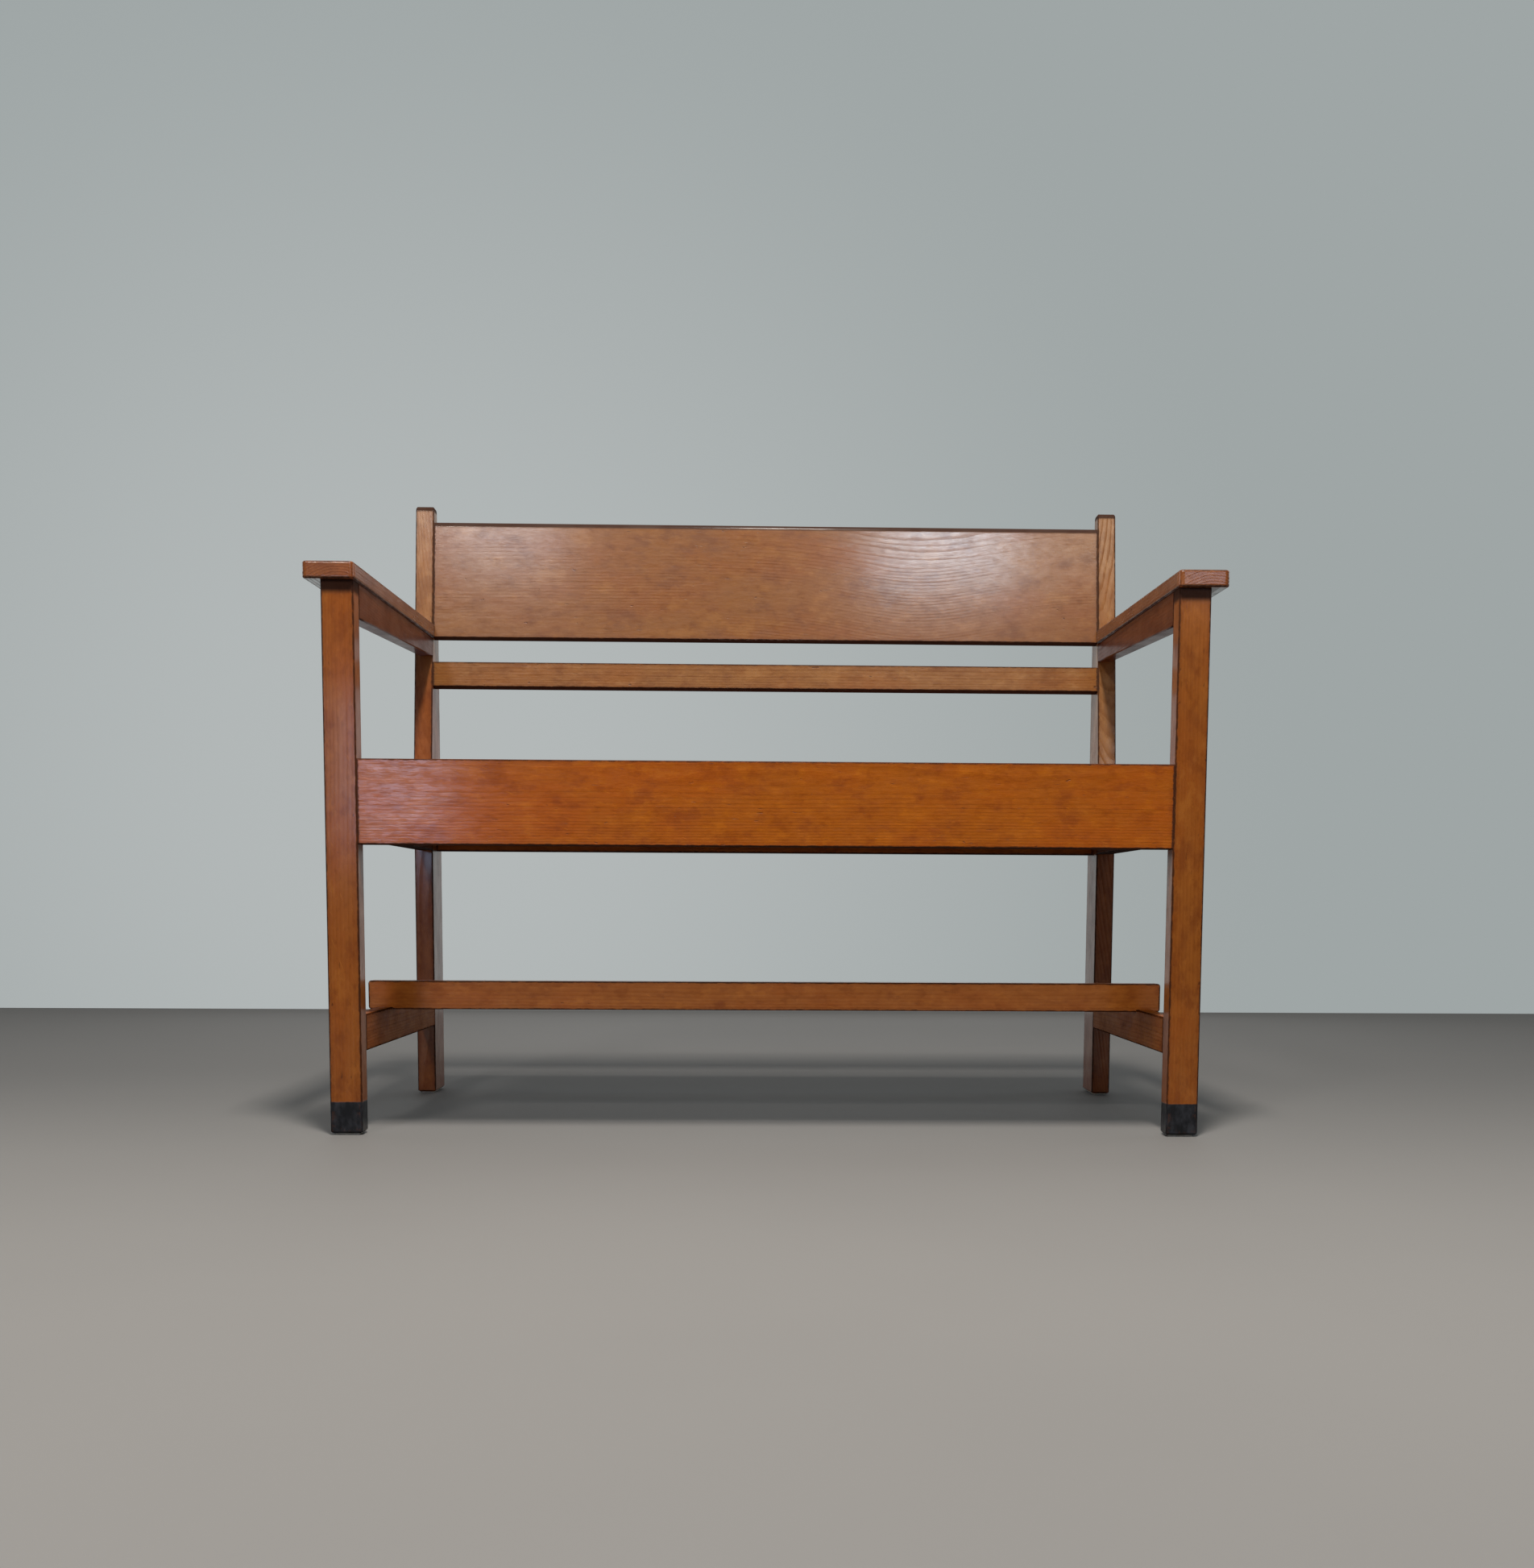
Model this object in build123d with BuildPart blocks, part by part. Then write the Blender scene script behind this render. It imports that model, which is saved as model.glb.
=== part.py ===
from build123d import *
from math import cos, radians, sin, tan
from typing import NamedTuple
import os

# Two-seat wooden settle with arms, glued up from straight sawn rails with mortise
# and tenon joints. It stands on the floor at z = 0 and faces -Y, with +X to the right
# as seen from the front. The origin is on the floor under the middle of its outline.
# Lengths are in millimetres and angles in degrees.

# Whole frame
inside_width = 964.0  # between the inner faces of the legs, and of the posts
frame_depth = 417.0  # from the leg fronts to the post fronts at the floor
seat_height = 445.0  # floor to the top edges of the seat frame
settle_height = 849.0  # floor to the tops of the posts

# Front legs and back posts
leg_width = 38.0
leg_depth = 26.0
post_width = 26.0
post_top_depth = 20.5
kink_height = 450.0  # where the fronts of the posts turn from upright to raked
kink_radius = 60.0
rake_angle = 6.0
post_top_radius = 8.0
post_corner_radius = 4.0  # of the top corners, seen from the front
leg_ease = 1.5  # chamfer of the long edges
foot_chamfer = 2.5

# Felt glides under the feet
glide_thickness = 2.0
glide_inset = 5.0

# Arms, and the rails under them
arm_height = 670.0  # top of the arm above the leg fronts
arm_rise = 8.0  # how much higher the arm is at the post
arm_width = 60.0
arm_thickness = 20.0
arm_inner_overhang = 2.0
arm_nose = 6.0  # how far the arm stands out in front of the leg
arm_corner_radius = 6.0  # of the front corners, seen from above
arm_round = 3.0
arm_rail_thickness = 20.0
arm_rail_front_depth = 41.0
arm_rail_back_depth = 26.0

# Seat frame
apron_height = 100.0
apron_thickness = 22.0
apron_setback = 1.0
seat_rail_height = 92.0
side_rail_thickness = 20.0
back_rail_thickness = 22.0
back_rail_setback = 28.0  # behind the fronts of the posts
rail_ease = 1.2  # chamfer of the long edges

# Seat boards and what carries them
seat_board_count = 5
seat_board_thickness = 18.0
seat_board_gap = 2.0
seat_board_end_gap = 1.0
seat_board_ease = 2.0
ledge_height = 22.0  # cleats and bearers alike
cleat_width = 22.0
bearer_width = 44.0
bearer_spacing = 320.0
bearer_housing = 6.0  # how far the bearers are let into the apron and the back rail
block_reach = 46.0
block_height = 40.0
block_tip = 6.0

# Back
board_height = 169.0  # measured along the rake
board_bottom = 660.0
board_top_round = 8.0
lower_rail_height = 36.0
lower_rail_bottom = 589.0
back_thickness = 18.0
back_setback = 2.0  # behind the fronts of the posts

# Stretchers
side_stretcher_bottom = 99.0
side_stretcher_height = 44.0
side_stretcher_thickness = 20.0
long_stretcher_height = 37.0
long_stretcher_thickness = 20.0
long_stretcher_setback = 160.0  # from the leg fronts to its front face
long_stretcher_overhang = 31.0  # past the inner faces of the legs
long_stretcher_corner = 4.0
stretcher_notch = 3.0  # depth of its notches over the side stretchers

# Tenons
tenon_thickness = 8.0
tenon_root = 5.0  # each tenon is drawn from this far inside its own rail
cheek_clearance = 0.1
glue_gap = 1.0
apron_tenon_height = 70.0
apron_tenon_setback = 4.0  # from the apron's face to the tenon's
apron_tenon_length = 26.0
seat_rail_tenon_height = 62.0
stretcher_tenon_height = 30.0
leg_tenon_length = 16.0  # into the back faces of the legs
seat_leg_tenon_length = 10.0  # shorter, because the apron's tenon lies in front of it
post_tenon_length = 22.0  # into the fronts of the posts
cross_tenon_length = 16.0  # into the inner faces of the posts
board_tenon_height = 48.0
board_tenon_spacing = 80.0
lower_rail_tenon_height = 22.0
arm_rail_front_tenon_height = 24.0
arm_rail_back_tenon_height = 14.0
arm_tenon_height = 10.0
arm_tenon_width = 14.0
leg_top_tenon_width = 24.0
leg_top_tenon_depth = 14.0
leg_top_tenon_length = 12.0

# Dowels and screws
dowel_radius = 4.0
dowel_depth = 18.0  # into each of the two stretchers
screw_radius = 2.0
screw_head_radius = 4.2
screw_head_angle = 90.0
screw_slot_width = 1.0
screw_slot_depth = 0.9
screw_clearance = 0.1
screw_length = 34.0

# Values worked out from the sizes
half_inside = inside_width / 2
rake = radians(rake_angle)
arm_slope = arm_rise / frame_depth
post_top_run = (settle_height - kink_height) * tan(rake)
post_depth = post_top_run + post_top_depth  # below the rake
leg_front = (arm_nose - frame_depth - post_depth) / 2
leg_back = leg_front + leg_depth
post_front = leg_front + frame_depth
apron_front = leg_front + apron_setback
apron_back = apron_front + apron_thickness
back_rail_front = post_front + back_rail_setback
seat_rail_bottom = seat_height - seat_rail_height
ledge_top = seat_height - seat_board_thickness
ledge_bottom = ledge_top - ledge_height
block_top = ledge_bottom
side_stretcher_top = side_stretcher_bottom + side_stretcher_height
long_stretcher_bottom = side_stretcher_top - stretcher_notch
long_stretcher_front = leg_front + long_stretcher_setback
seat_depth = back_rail_front - apron_back
seat_board_width = (seat_depth - (seat_board_count + 1) * seat_board_gap) / seat_board_count
seat_board_pitch = seat_board_width + seat_board_gap
first_board_middle = apron_back + seat_board_gap + seat_board_width / 2
board_middles = [first_board_middle + n * seat_board_pitch for n in range(seat_board_count)]
SIDES = {"left": -1, "right": 1}


# Places on the sloping arm and the raked back

def arm_line(drop, y):
    """Height at y of the line that runs this far below the arm's top face."""
    return arm_height - drop + arm_slope * (y - leg_front)


def arm_line_at_post(drop):
    """Where that line meets the raked front of the post, as (y, z)."""
    lean = tan(rake)
    start = arm_line(drop, post_front)
    z = (start - arm_slope * kink_height * lean) / (1 - arm_slope * lean)
    return post_front + (z - kink_height) * lean, z


def raked_plane(height, setback):
    """Plane of the raked back, facing forwards, at this setback from the fronts of the posts."""
    y = post_front + (height - kink_height) * tan(rake)
    front = Plane(origin=(0, y, height), x_dir=(1, 0, 0), z_dir=(0, -cos(rake), sin(rake)))
    return front.offset(-setback)


def side_plane(x, side):
    """YZ plane at this distance from the middle, facing outwards on that side."""
    return Plane(origin=(side * x, 0, 0), x_dir=(0, 1, 0), z_dir=(1, 0, 0))


# Joints, shared by the piece that has the tenon and the one that has the mortise

class Joint(NamedTuple):
    """Tenon centred on a plane at its shoulder, with the plane facing into the mortise."""

    plane: Plane
    width: float
    height: float
    length: float


def tenon(joint):
    with BuildSketch(joint.plane.offset(-tenon_root)) as section:
        Rectangle(joint.width, joint.height)
    extrude(section.sketch, amount=tenon_root + joint.length)


def mortise(joint):
    with BuildSketch(joint.plane.offset(-tenon_root)) as section:
        Rectangle(joint.width + 2 * cheek_clearance, joint.height + 2 * cheek_clearance)
    extrude(section.sketch, amount=tenon_root + joint.length + glue_gap, mode=Mode.SUBTRACT)


def forward_plane(x, y, z):
    return Plane(origin=(x, y, z), x_dir=(1, 0, 0), z_dir=(0, -1, 0))


def backward_plane(x, y, z):
    return Plane(origin=(x, y, z), x_dir=(1, 0, 0), z_dir=(0, 1, 0))


def outward_plane(side, y, z):
    """Plane on the inner face of a leg or post, with Y across and Z up."""
    return Plane(origin=(side * half_inside, y, z), x_dir=(0, 1, 0), z_dir=(side, 0, 0))


def apron_joint(side):
    y = apron_front + apron_tenon_setback + tenon_thickness / 2
    plane = outward_plane(side, y, seat_height - apron_height / 2)
    return Joint(plane, tenon_thickness, apron_tenon_height, apron_tenon_length)


def back_rail_joint(side):
    y = back_rail_front + back_rail_thickness / 2
    plane = outward_plane(side, y, seat_height - seat_rail_height / 2)
    return Joint(plane, tenon_thickness, seat_rail_tenon_height, cross_tenon_length)


def raked_joint(side, height, up_rake, tenon_height):
    """Joint of a raked cross piece, at this distance up the rake from its own bottom edge."""
    plane = raked_plane(height, back_setback + back_thickness / 2)
    middle = plane.from_local_coords(Vector(side * half_inside, up_rake, 0))
    place = Plane(origin=middle, x_dir=plane.z_dir, z_dir=(side, 0, 0))
    return Joint(place, tenon_thickness, tenon_height, cross_tenon_length)


def board_joints(side):
    """The two tenons, one above the other, at an end of the back board."""
    places = (board_height - board_tenon_spacing) / 2, (board_height + board_tenon_spacing) / 2
    return [raked_joint(side, board_bottom, up, board_tenon_height) for up in places]


def lower_rail_joint(side):
    return raked_joint(side, lower_rail_bottom, lower_rail_height / 2, lower_rail_tenon_height)


def side_joints(side, thickness, z, tenon_height, front_length):
    """Front and back joint of an upright side rail whose inner face is in line with the leg's."""
    x = side * (half_inside + thickness / 2)
    front = Joint(forward_plane(x, leg_back, z), tenon_thickness, tenon_height, front_length)
    back = Joint(backward_plane(x, post_front, z), tenon_thickness, tenon_height, post_tenon_length)
    return front, back


def seat_rail_joints(side):
    z = seat_height - seat_rail_height / 2
    return side_joints(side, side_rail_thickness, z, seat_rail_tenon_height, seat_leg_tenon_length)


def stretcher_joints(side):
    z = side_stretcher_bottom + side_stretcher_height / 2
    return side_joints(side, side_stretcher_thickness, z, stretcher_tenon_height, leg_tenon_length)


def arm_rail_joints(side):
    x = side * (half_inside + arm_rail_thickness / 2)
    front_z = arm_line(arm_thickness + arm_rail_front_depth / 2, leg_back)
    front = forward_plane(x, leg_back, front_z)
    back = backward_plane(x, *arm_line_at_post(arm_thickness + arm_rail_back_depth / 2))
    return (
        Joint(front, tenon_thickness, arm_rail_front_tenon_height, leg_tenon_length),
        Joint(back, tenon_thickness, arm_rail_back_tenon_height, post_tenon_length),
    )


def arm_joint(side):
    """Tenon on the back end of the arm, into the post."""
    x = side * (half_inside + post_width / 2)
    plane = backward_plane(x, *arm_line_at_post(arm_thickness / 2))
    return Joint(plane, arm_tenon_width, arm_tenon_height, post_tenon_length)


def leg_top_joint(side):
    """Stub tenon on top of the leg, into the underside of the arm."""
    y = leg_front + leg_depth / 2
    middle = (side * (half_inside + leg_width / 2), y, arm_line(arm_thickness, y))
    return Joint(Plane(origin=middle), leg_top_tenon_width, leg_top_tenon_depth, leg_top_tenon_length)


# Dowels and screws, placed alike in every piece that they pass through

def dowel_place(side):
    y = long_stretcher_front + long_stretcher_thickness / 2
    x = side * (half_inside + side_stretcher_thickness / 2)
    return Location((x, y, side_stretcher_top))


def dowel_hole(place):
    with Locations(place):
        Cylinder(dowel_radius + screw_clearance, 2 * (dowel_depth + glue_gap), mode=Mode.SUBTRACT)


def screw_place(side, y):
    """Upward screw through the cleat on that side, into the end of a seat board."""
    x = side * (half_inside - cleat_width / 2)
    return Plane(origin=(x, y, ledge_bottom), z_dir=(0, 0, -1)).location


def countersunk_holes(places):
    """Holes through the piece that the screw heads are sunk in."""
    with Locations(*places):
        CounterSinkHole(
            radius=screw_radius + screw_clearance,
            counter_sink_radius=screw_head_radius + screw_clearance,
            depth=screw_length + screw_clearance,
            counter_sink_angle=screw_head_angle,
        )


def pilot_holes(places):
    """Blind holes on the same axes, for the piece that the screws go into."""
    with Locations(*places):
        Hole(radius=screw_radius + screw_clearance, depth=screw_length + screw_clearance)


def finish(piece, name):
    piece.part.label = name
    export_step(piece.part, f"parts/{name}.step")


os.makedirs("parts", exist_ok=True)


# Front legs: square-edged, upright, with a stub tenon in the arm

def make_front_leg(side, name):
    with BuildPart() as leg:
        with BuildSketch(side_plane(half_inside, side)):
            with BuildLine():
                Polyline(
                    (leg_front, glide_thickness),
                    (leg_back, glide_thickness),
                    (leg_back, arm_line(arm_thickness, leg_back)),
                    (leg_front, arm_line(arm_thickness, leg_front)),
                    close=True,
                )
            make_face()
        extrude(amount=side * leg_width)
        chamfer(leg.faces().sort_by(Axis.Z)[0].edges(), length=foot_chamfer)
        chamfer(leg.edges().filter_by(Axis.Z), length=leg_ease)
        tenon(leg_top_joint(side))
        mortise(apron_joint(side))
        mortise(seat_rail_joints(side)[0])
        mortise(stretcher_joints(side)[0])
        mortise(arm_rail_joints(side)[0])
    finish(leg, name)


# Back posts: upright behind, and cut back in front to the rake above the seat

def make_back_post(side, name):
    post_back = post_front + post_depth
    with BuildPart() as post:
        with BuildSketch(side_plane(half_inside, side)) as outline:
            with BuildLine():
                Polyline(
                    (post_front, glide_thickness),
                    (post_front, kink_height),
                    (post_front + post_top_run, settle_height),
                    (post_back, settle_height),
                    (post_back, glide_thickness),
                    close=True,
                )
            make_face()
            fillet(outline.vertices().sort_by(Axis.Y)[2], radius=kink_radius)
            fillet(outline.vertices().sort_by(Axis.Y)[-2:], radius=post_top_radius)
        extrude(amount=side * post_width)
        chamfer(post.faces().sort_by(Axis.Z)[0].edges(), length=foot_chamfer)
        lowest_first = post.faces().filter_by(Axis.X).edges().sort_by(Axis.Z)
        chamfer(lowest_first[2:], length=leg_ease)
        with BuildSketch(Plane.XZ.offset(-post_front)) as front_view:
            with Locations((side * (half_inside + post_width / 2), settle_height / 2)):
                Rectangle(post_width, settle_height)
            fillet(front_view.vertices().sort_by(Axis.Y)[-2:], radius=post_corner_radius)
        extrude(amount=-post_depth, mode=Mode.INTERSECT)
        mortise(back_rail_joint(side))
        mortise(seat_rail_joints(side)[1])
        mortise(stretcher_joints(side)[1])
        mortise(arm_rail_joints(side)[1])
        mortise(arm_joint(side))
        mortise(lower_rail_joint(side))
        for joint in board_joints(side):
            mortise(joint)
    finish(post, name)


# Arms: flat boards with rounded edges, let onto the legs and into the posts

def make_arm(side, name):
    nose = leg_front - arm_nose
    with BuildPart() as arm:
        with BuildSketch(side_plane(half_inside - arm_inner_overhang, side)):
            with BuildLine():
                Polyline(
                    (nose, arm_line(arm_thickness, nose)),
                    (nose, arm_line(0, nose)),
                    arm_line_at_post(0),
                    arm_line_at_post(arm_thickness),
                    close=True,
                )
            make_face()
        extrude(amount=side * arm_width)
        fillet(arm.edges().filter_by(Axis.Z), radius=arm_corner_radius)
        back_end = arm.faces().sort_by(Axis.Y)[-1]
        bottom_to_top = arm.faces().sort_by(Axis.Z)
        rims = bottom_to_top[0].edges() + bottom_to_top[-1].edges()
        fillet(rims - back_end.edges(), radius=arm_round)
        tenon(arm_joint(side))
        mortise(leg_top_joint(side))
    finish(arm, name)


# Rails under the arms: deeper at the leg than at the post

def make_arm_rail(side, name):
    front_bottom = arm_thickness + arm_rail_front_depth
    with BuildPart() as rail:
        with BuildSketch(side_plane(half_inside, side)):
            with BuildLine():
                Polyline(
                    (leg_back, arm_line(arm_thickness, leg_back)),
                    arm_line_at_post(arm_thickness),
                    arm_line_at_post(arm_thickness + arm_rail_back_depth),
                    (leg_back, arm_line(front_bottom, leg_back)),
                    close=True,
                )
            make_face()
        extrude(amount=side * arm_rail_thickness)
        chamfer(rail.edges().sort_by(SortBy.LENGTH)[-4:], length=rail_ease)
        for joint in arm_rail_joints(side):
            tenon(joint)
    finish(rail, name)


# Apron and back seat rail

def bearer_housings():
    """Blind housings for the ends of the seat bearers, cut in the apron and the back rail."""
    for x in (-bearer_spacing / 2, bearer_spacing / 2):
        with Locations((x, (apron_back + back_rail_front) / 2, ledge_bottom)):
            Box(
                bearer_width,
                seat_depth + 2 * bearer_housing,
                ledge_height,
                align=(Align.CENTER, Align.CENTER, Align.MIN),
                mode=Mode.SUBTRACT,
            )


def make_apron():
    with BuildPart() as apron:
        with BuildSketch(Plane.XZ.offset(-apron_front)):
            with Locations((0, seat_height - apron_height / 2)):
                Rectangle(inside_width, apron_height)
        extrude(amount=-apron_thickness)
        chamfer(apron.edges().filter_by(Axis.X), length=rail_ease)
        for side in SIDES.values():
            tenon(apron_joint(side))
        bearer_housings()
    finish(apron, "front_apron")


def make_back_seat_rail():
    with BuildPart() as rail:
        with BuildSketch(Plane.XZ.offset(-back_rail_front)):
            with Locations((0, seat_height - seat_rail_height / 2)):
                Rectangle(inside_width, seat_rail_height)
        extrude(amount=-back_rail_thickness)
        chamfer(rail.edges().filter_by(Axis.X), length=rail_ease)
        for side in SIDES.values():
            tenon(back_rail_joint(side))
        bearer_housings()
    finish(rail, "back_seat_rail")


# Side rails of the seat frame and side stretchers, from leg to post

def side_bar(side, bottom, height, thickness, joints):
    with BuildSketch(side_plane(half_inside, side)) as section:
        with Locations(((leg_back + post_front) / 2, bottom + height / 2)):
            Rectangle(post_front - leg_back, height)
    bar = extrude(section.sketch, amount=side * thickness)
    chamfer(bar.edges().filter_by(Axis.Y), length=rail_ease)
    for joint in joints:
        tenon(joint)


def make_side_seat_rail(side, name):
    with BuildPart() as rail:
        side_bar(side, seat_rail_bottom, seat_rail_height, side_rail_thickness, seat_rail_joints(side))
    finish(rail, name)


def make_side_stretcher(side, name):
    with BuildPart() as stretcher:
        side_bar(
            side,
            side_stretcher_bottom,
            side_stretcher_height,
            side_stretcher_thickness,
            stretcher_joints(side),
        )
        dowel_hole(dowel_place(side))
    finish(stretcher, name)


# Long stretcher: notched over the side stretchers, with its ends standing out past them

def make_long_stretcher():
    with BuildPart() as stretcher:
        with BuildSketch(Plane.XZ.offset(-long_stretcher_front)):
            with Locations((0, long_stretcher_bottom + long_stretcher_height / 2)):
                RectangleRounded(
                    inside_width + 2 * long_stretcher_overhang,
                    long_stretcher_height,
                    long_stretcher_corner,
                )
        extrude(amount=-long_stretcher_thickness)
        chamfer(stretcher.faces().filter_by(Axis.Y).edges(), length=rail_ease)
        for side in SIDES.values():
            notch = side_stretcher_thickness + 2 * cheek_clearance
            x = side * (half_inside + side_stretcher_thickness / 2)
            y = long_stretcher_front + long_stretcher_thickness / 2
            with Locations((x, y, side_stretcher_top)):
                Box(
                    notch,
                    2 * long_stretcher_thickness,
                    2 * stretcher_notch,
                    align=(Align.CENTER, Align.CENTER, Align.MAX),
                    mode=Mode.SUBTRACT,
                )
            dowel_hole(dowel_place(side))
    finish(stretcher, "long_stretcher")


# Back board and the narrow rail under it, both in the rake of the posts

def raked_bar(bottom, height):
    with BuildSketch(raked_plane(bottom, back_setback)) as face:
        Rectangle(inside_width, height, align=(Align.CENTER, Align.MIN))
    extrude(face.sketch, amount=-back_thickness)


def make_back_board():
    with BuildPart() as board:
        raked_bar(board_bottom, board_height)
        across = board.edges().filter_by(Axis.X).sort_by(Axis.Z)
        fillet(across[-2:], radius=board_top_round)
        chamfer(across[:2], length=rail_ease)
        for side in SIDES.values():
            for joint in board_joints(side):
                tenon(joint)
    finish(board, "back_board")


def make_lower_back_rail():
    with BuildPart() as rail:
        raked_bar(lower_rail_bottom, lower_rail_height)
        chamfer(rail.edges().filter_by(Axis.X), length=rail_ease)
        for side in SIDES.values():
            tenon(lower_rail_joint(side))
    finish(rail, "lower_back_rail")


# Seat boards, cleats, bearers and corner blocks

def make_seat_board(middle, name):
    with BuildPart() as board:
        with BuildSketch(Plane.XY.offset(ledge_top)):
            with Locations((0, middle)):
                Rectangle(inside_width - 2 * seat_board_end_gap, seat_board_width)
        extrude(amount=seat_board_thickness)
        chamfer(board.faces().sort_by(Axis.Z)[-1].edges(), length=seat_board_ease)
        pilot_holes([screw_place(side, middle) for side in SIDES.values()])
    finish(board, name)


def make_cleat(side, name):
    with BuildPart() as cleat:
        with BuildSketch(Plane.XY.offset(ledge_bottom)):
            with Locations((side * (half_inside - cleat_width / 2), (apron_back + back_rail_front) / 2)):
                Rectangle(cleat_width, seat_depth)
        extrude(amount=ledge_height)
        countersunk_holes([screw_place(side, middle) for middle in board_middles])
    finish(cleat, name)


def make_bearer(side, name):
    with BuildPart() as bearer:
        with BuildSketch(Plane.XY.offset(ledge_bottom)):
            with Locations((side * bearer_spacing / 2, (apron_back + back_rail_front) / 2)):
                Rectangle(bearer_width, seat_depth + 2 * bearer_housing)
        extrude(amount=ledge_height)
    finish(bearer, name)


def make_corner_block(side, face, into, name):
    """Glue block against that face of the apron or back rail; into points from it into the seat."""
    inner = side * half_inside
    with BuildPart() as block:
        with BuildSketch(Plane.XY.offset(block_top - block_height)):
            with BuildLine():
                Polyline(
                    (inner, face),
                    (inner - side * block_reach, face),
                    (inner - side * block_reach, face + into * block_tip),
                    (inner - side * block_tip, face + into * block_reach),
                    (inner, face + into * block_reach),
                    close=True,
                )
            make_face()
        extrude(amount=block_height)
    finish(block, name)


# Felt glides

def make_glide(side, y, width, depth, name):
    with BuildPart() as glide:
        with BuildSketch():
            with Locations((side * (half_inside + width / 2), y + depth / 2)):
                Rectangle(width - 2 * glide_inset, depth - 2 * glide_inset)
        extrude(amount=glide_thickness)
    finish(glide, name)


# Dowels and slotted countersunk screws

def make_dowels():
    with BuildPart() as dowels:
        with Locations(*[dowel_place(side) for side in SIDES.values()]):
            Cylinder(dowel_radius, 2 * dowel_depth)
    finish(dowels, "stretcher_dowels")


def make_screws():
    """Each screw is drawn with the top of its head at its place, and its shank going down from there."""
    head_depth = (screw_head_radius - screw_radius) / tan(radians(screw_head_angle / 2))
    with BuildPart(mode=Mode.PRIVATE) as one:
        with BuildSketch(Plane.XZ):
            with BuildLine():
                Polyline(
                    (0, 0),
                    (screw_head_radius, 0),
                    (screw_radius, -head_depth),
                    (screw_radius, -screw_length),
                    (0, -screw_length),
                    close=True,
                )
            make_face()
        revolve(axis=Axis.Z)
        slot_length = 2 * (screw_head_radius + screw_clearance)
        Box(slot_length, screw_slot_width, 2 * screw_slot_depth, mode=Mode.SUBTRACT)
    with BuildPart() as screws:
        with Locations(*[screw_place(side, y) for side in SIDES.values() for y in board_middles]):
            add(one.part)
    finish(screws, "seat_screws")


for side_name, side in SIDES.items():
    make_front_leg(side, f"front_leg_{side_name}")
    make_back_post(side, f"back_post_{side_name}")
    make_arm(side, f"arm_{side_name}")
    make_arm_rail(side, f"arm_rail_{side_name}")
    make_side_seat_rail(side, f"side_seat_rail_{side_name}")
    make_side_stretcher(side, f"side_stretcher_{side_name}")
    make_cleat(side, f"seat_cleat_{side_name}")
    make_bearer(side, f"seat_bearer_{side_name}")
    make_corner_block(side, apron_back, 1, f"corner_block_front_{side_name}")
    make_corner_block(side, back_rail_front, -1, f"corner_block_back_{side_name}")
    make_glide(side, leg_front, leg_width, leg_depth, f"felt_glide_front_{side_name}")
    make_glide(side, post_front, post_width, post_depth, f"felt_glide_back_{side_name}")

make_apron()
make_back_seat_rail()
make_long_stretcher()
make_back_board()
make_lower_back_rail()
for number, middle in enumerate(board_middles, start=1):
    make_seat_board(middle, f"seat_board_{number}")
make_dowels()
make_screws()
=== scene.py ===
from math import cos, radians, sin, tan
from typing import NamedTuple

import bpy
from bpy.props import FloatProperty, FloatVectorProperty, PointerProperty
from mathutils import Matrix, Vector


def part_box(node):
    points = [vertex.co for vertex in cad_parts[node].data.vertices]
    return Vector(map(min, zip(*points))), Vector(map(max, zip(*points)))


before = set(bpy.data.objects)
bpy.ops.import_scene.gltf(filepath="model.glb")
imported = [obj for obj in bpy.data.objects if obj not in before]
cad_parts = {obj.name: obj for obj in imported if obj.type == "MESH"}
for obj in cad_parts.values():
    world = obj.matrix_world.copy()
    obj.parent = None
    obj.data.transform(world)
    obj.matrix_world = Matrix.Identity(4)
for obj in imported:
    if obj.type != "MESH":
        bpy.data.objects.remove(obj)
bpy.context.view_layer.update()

bl_info = {
    "name": "Varnished settle",
    "version": (1, 0, 0),
    "blender": (4, 5, 0),
    "location": "View3D > Sidebar > Settle",
    "description": "Finishes of a stained and varnished wooden settle, with its stage and camera",
    "category": "Object",
}

# Directions in the settle's frame: X to the right, Y to the back, Z up
RIGHT = Vector((1, 0, 0))
BACK = Vector((0, 1, 0))
UP = Vector((0, 0, 1))

# The fronts of the posts and the back lean back from the kink upwards
RAKE = radians(6)
KINK_HEIGHT = 0.450
RAKED_UP = Vector((0, sin(RAKE), cos(RAKE)))

# The arms rise a little from the fronts of the legs to the posts
ARM_RISE = 0.008
FRAME_DEPTH = 0.417
ARM_BACK = Vector((0, 1, ARM_RISE / FRAME_DEPTH)).normalized()
ARM_THICKNESS = 0.020

# The two raked pieces of the back, measured along the rake
BACK_HEIGHTS = {"back_board": 0.169, "lower_back_rail": 0.036}
BACK_THICKNESS = 0.018

# Axes of a place on a piece that is measured from its middle
ACROSS, DEPTH, ALONG = range(3)

SIDES = ("left", "right")
ENDS = ("front", "back")
SEAT_BOARDS = range(1, 6)
MIDDLE_BOARD = 3

# Each piece has a grain pattern of its own, numbered on from the first of its group
FIRST_PATTERN = {
    "legs": 1,
    "posts": 3,
    "arms": 5,
    "arm_rails": 7,
    "apron": 9,
    "back_seat_rail": 10,
    "side_seat_rails": 11,
    "back": 13,
    "long_stretcher": 15,
    "side_stretchers": 16,
    "seat_boards": 21,
    "inner_pieces": 30,
}
PATTERN_STEPS = (7.31, 3.17, 5.53)
LAYER_STEP = 31.0

# Sockets of Blender's Mix node when it mixes colours, and the spacing of the nodes
MIX_FACTOR, MIX_FIRST, MIX_SECOND = 0, 6, 7
MIX_RESULT = 2
NODE_COLUMN = 200


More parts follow.
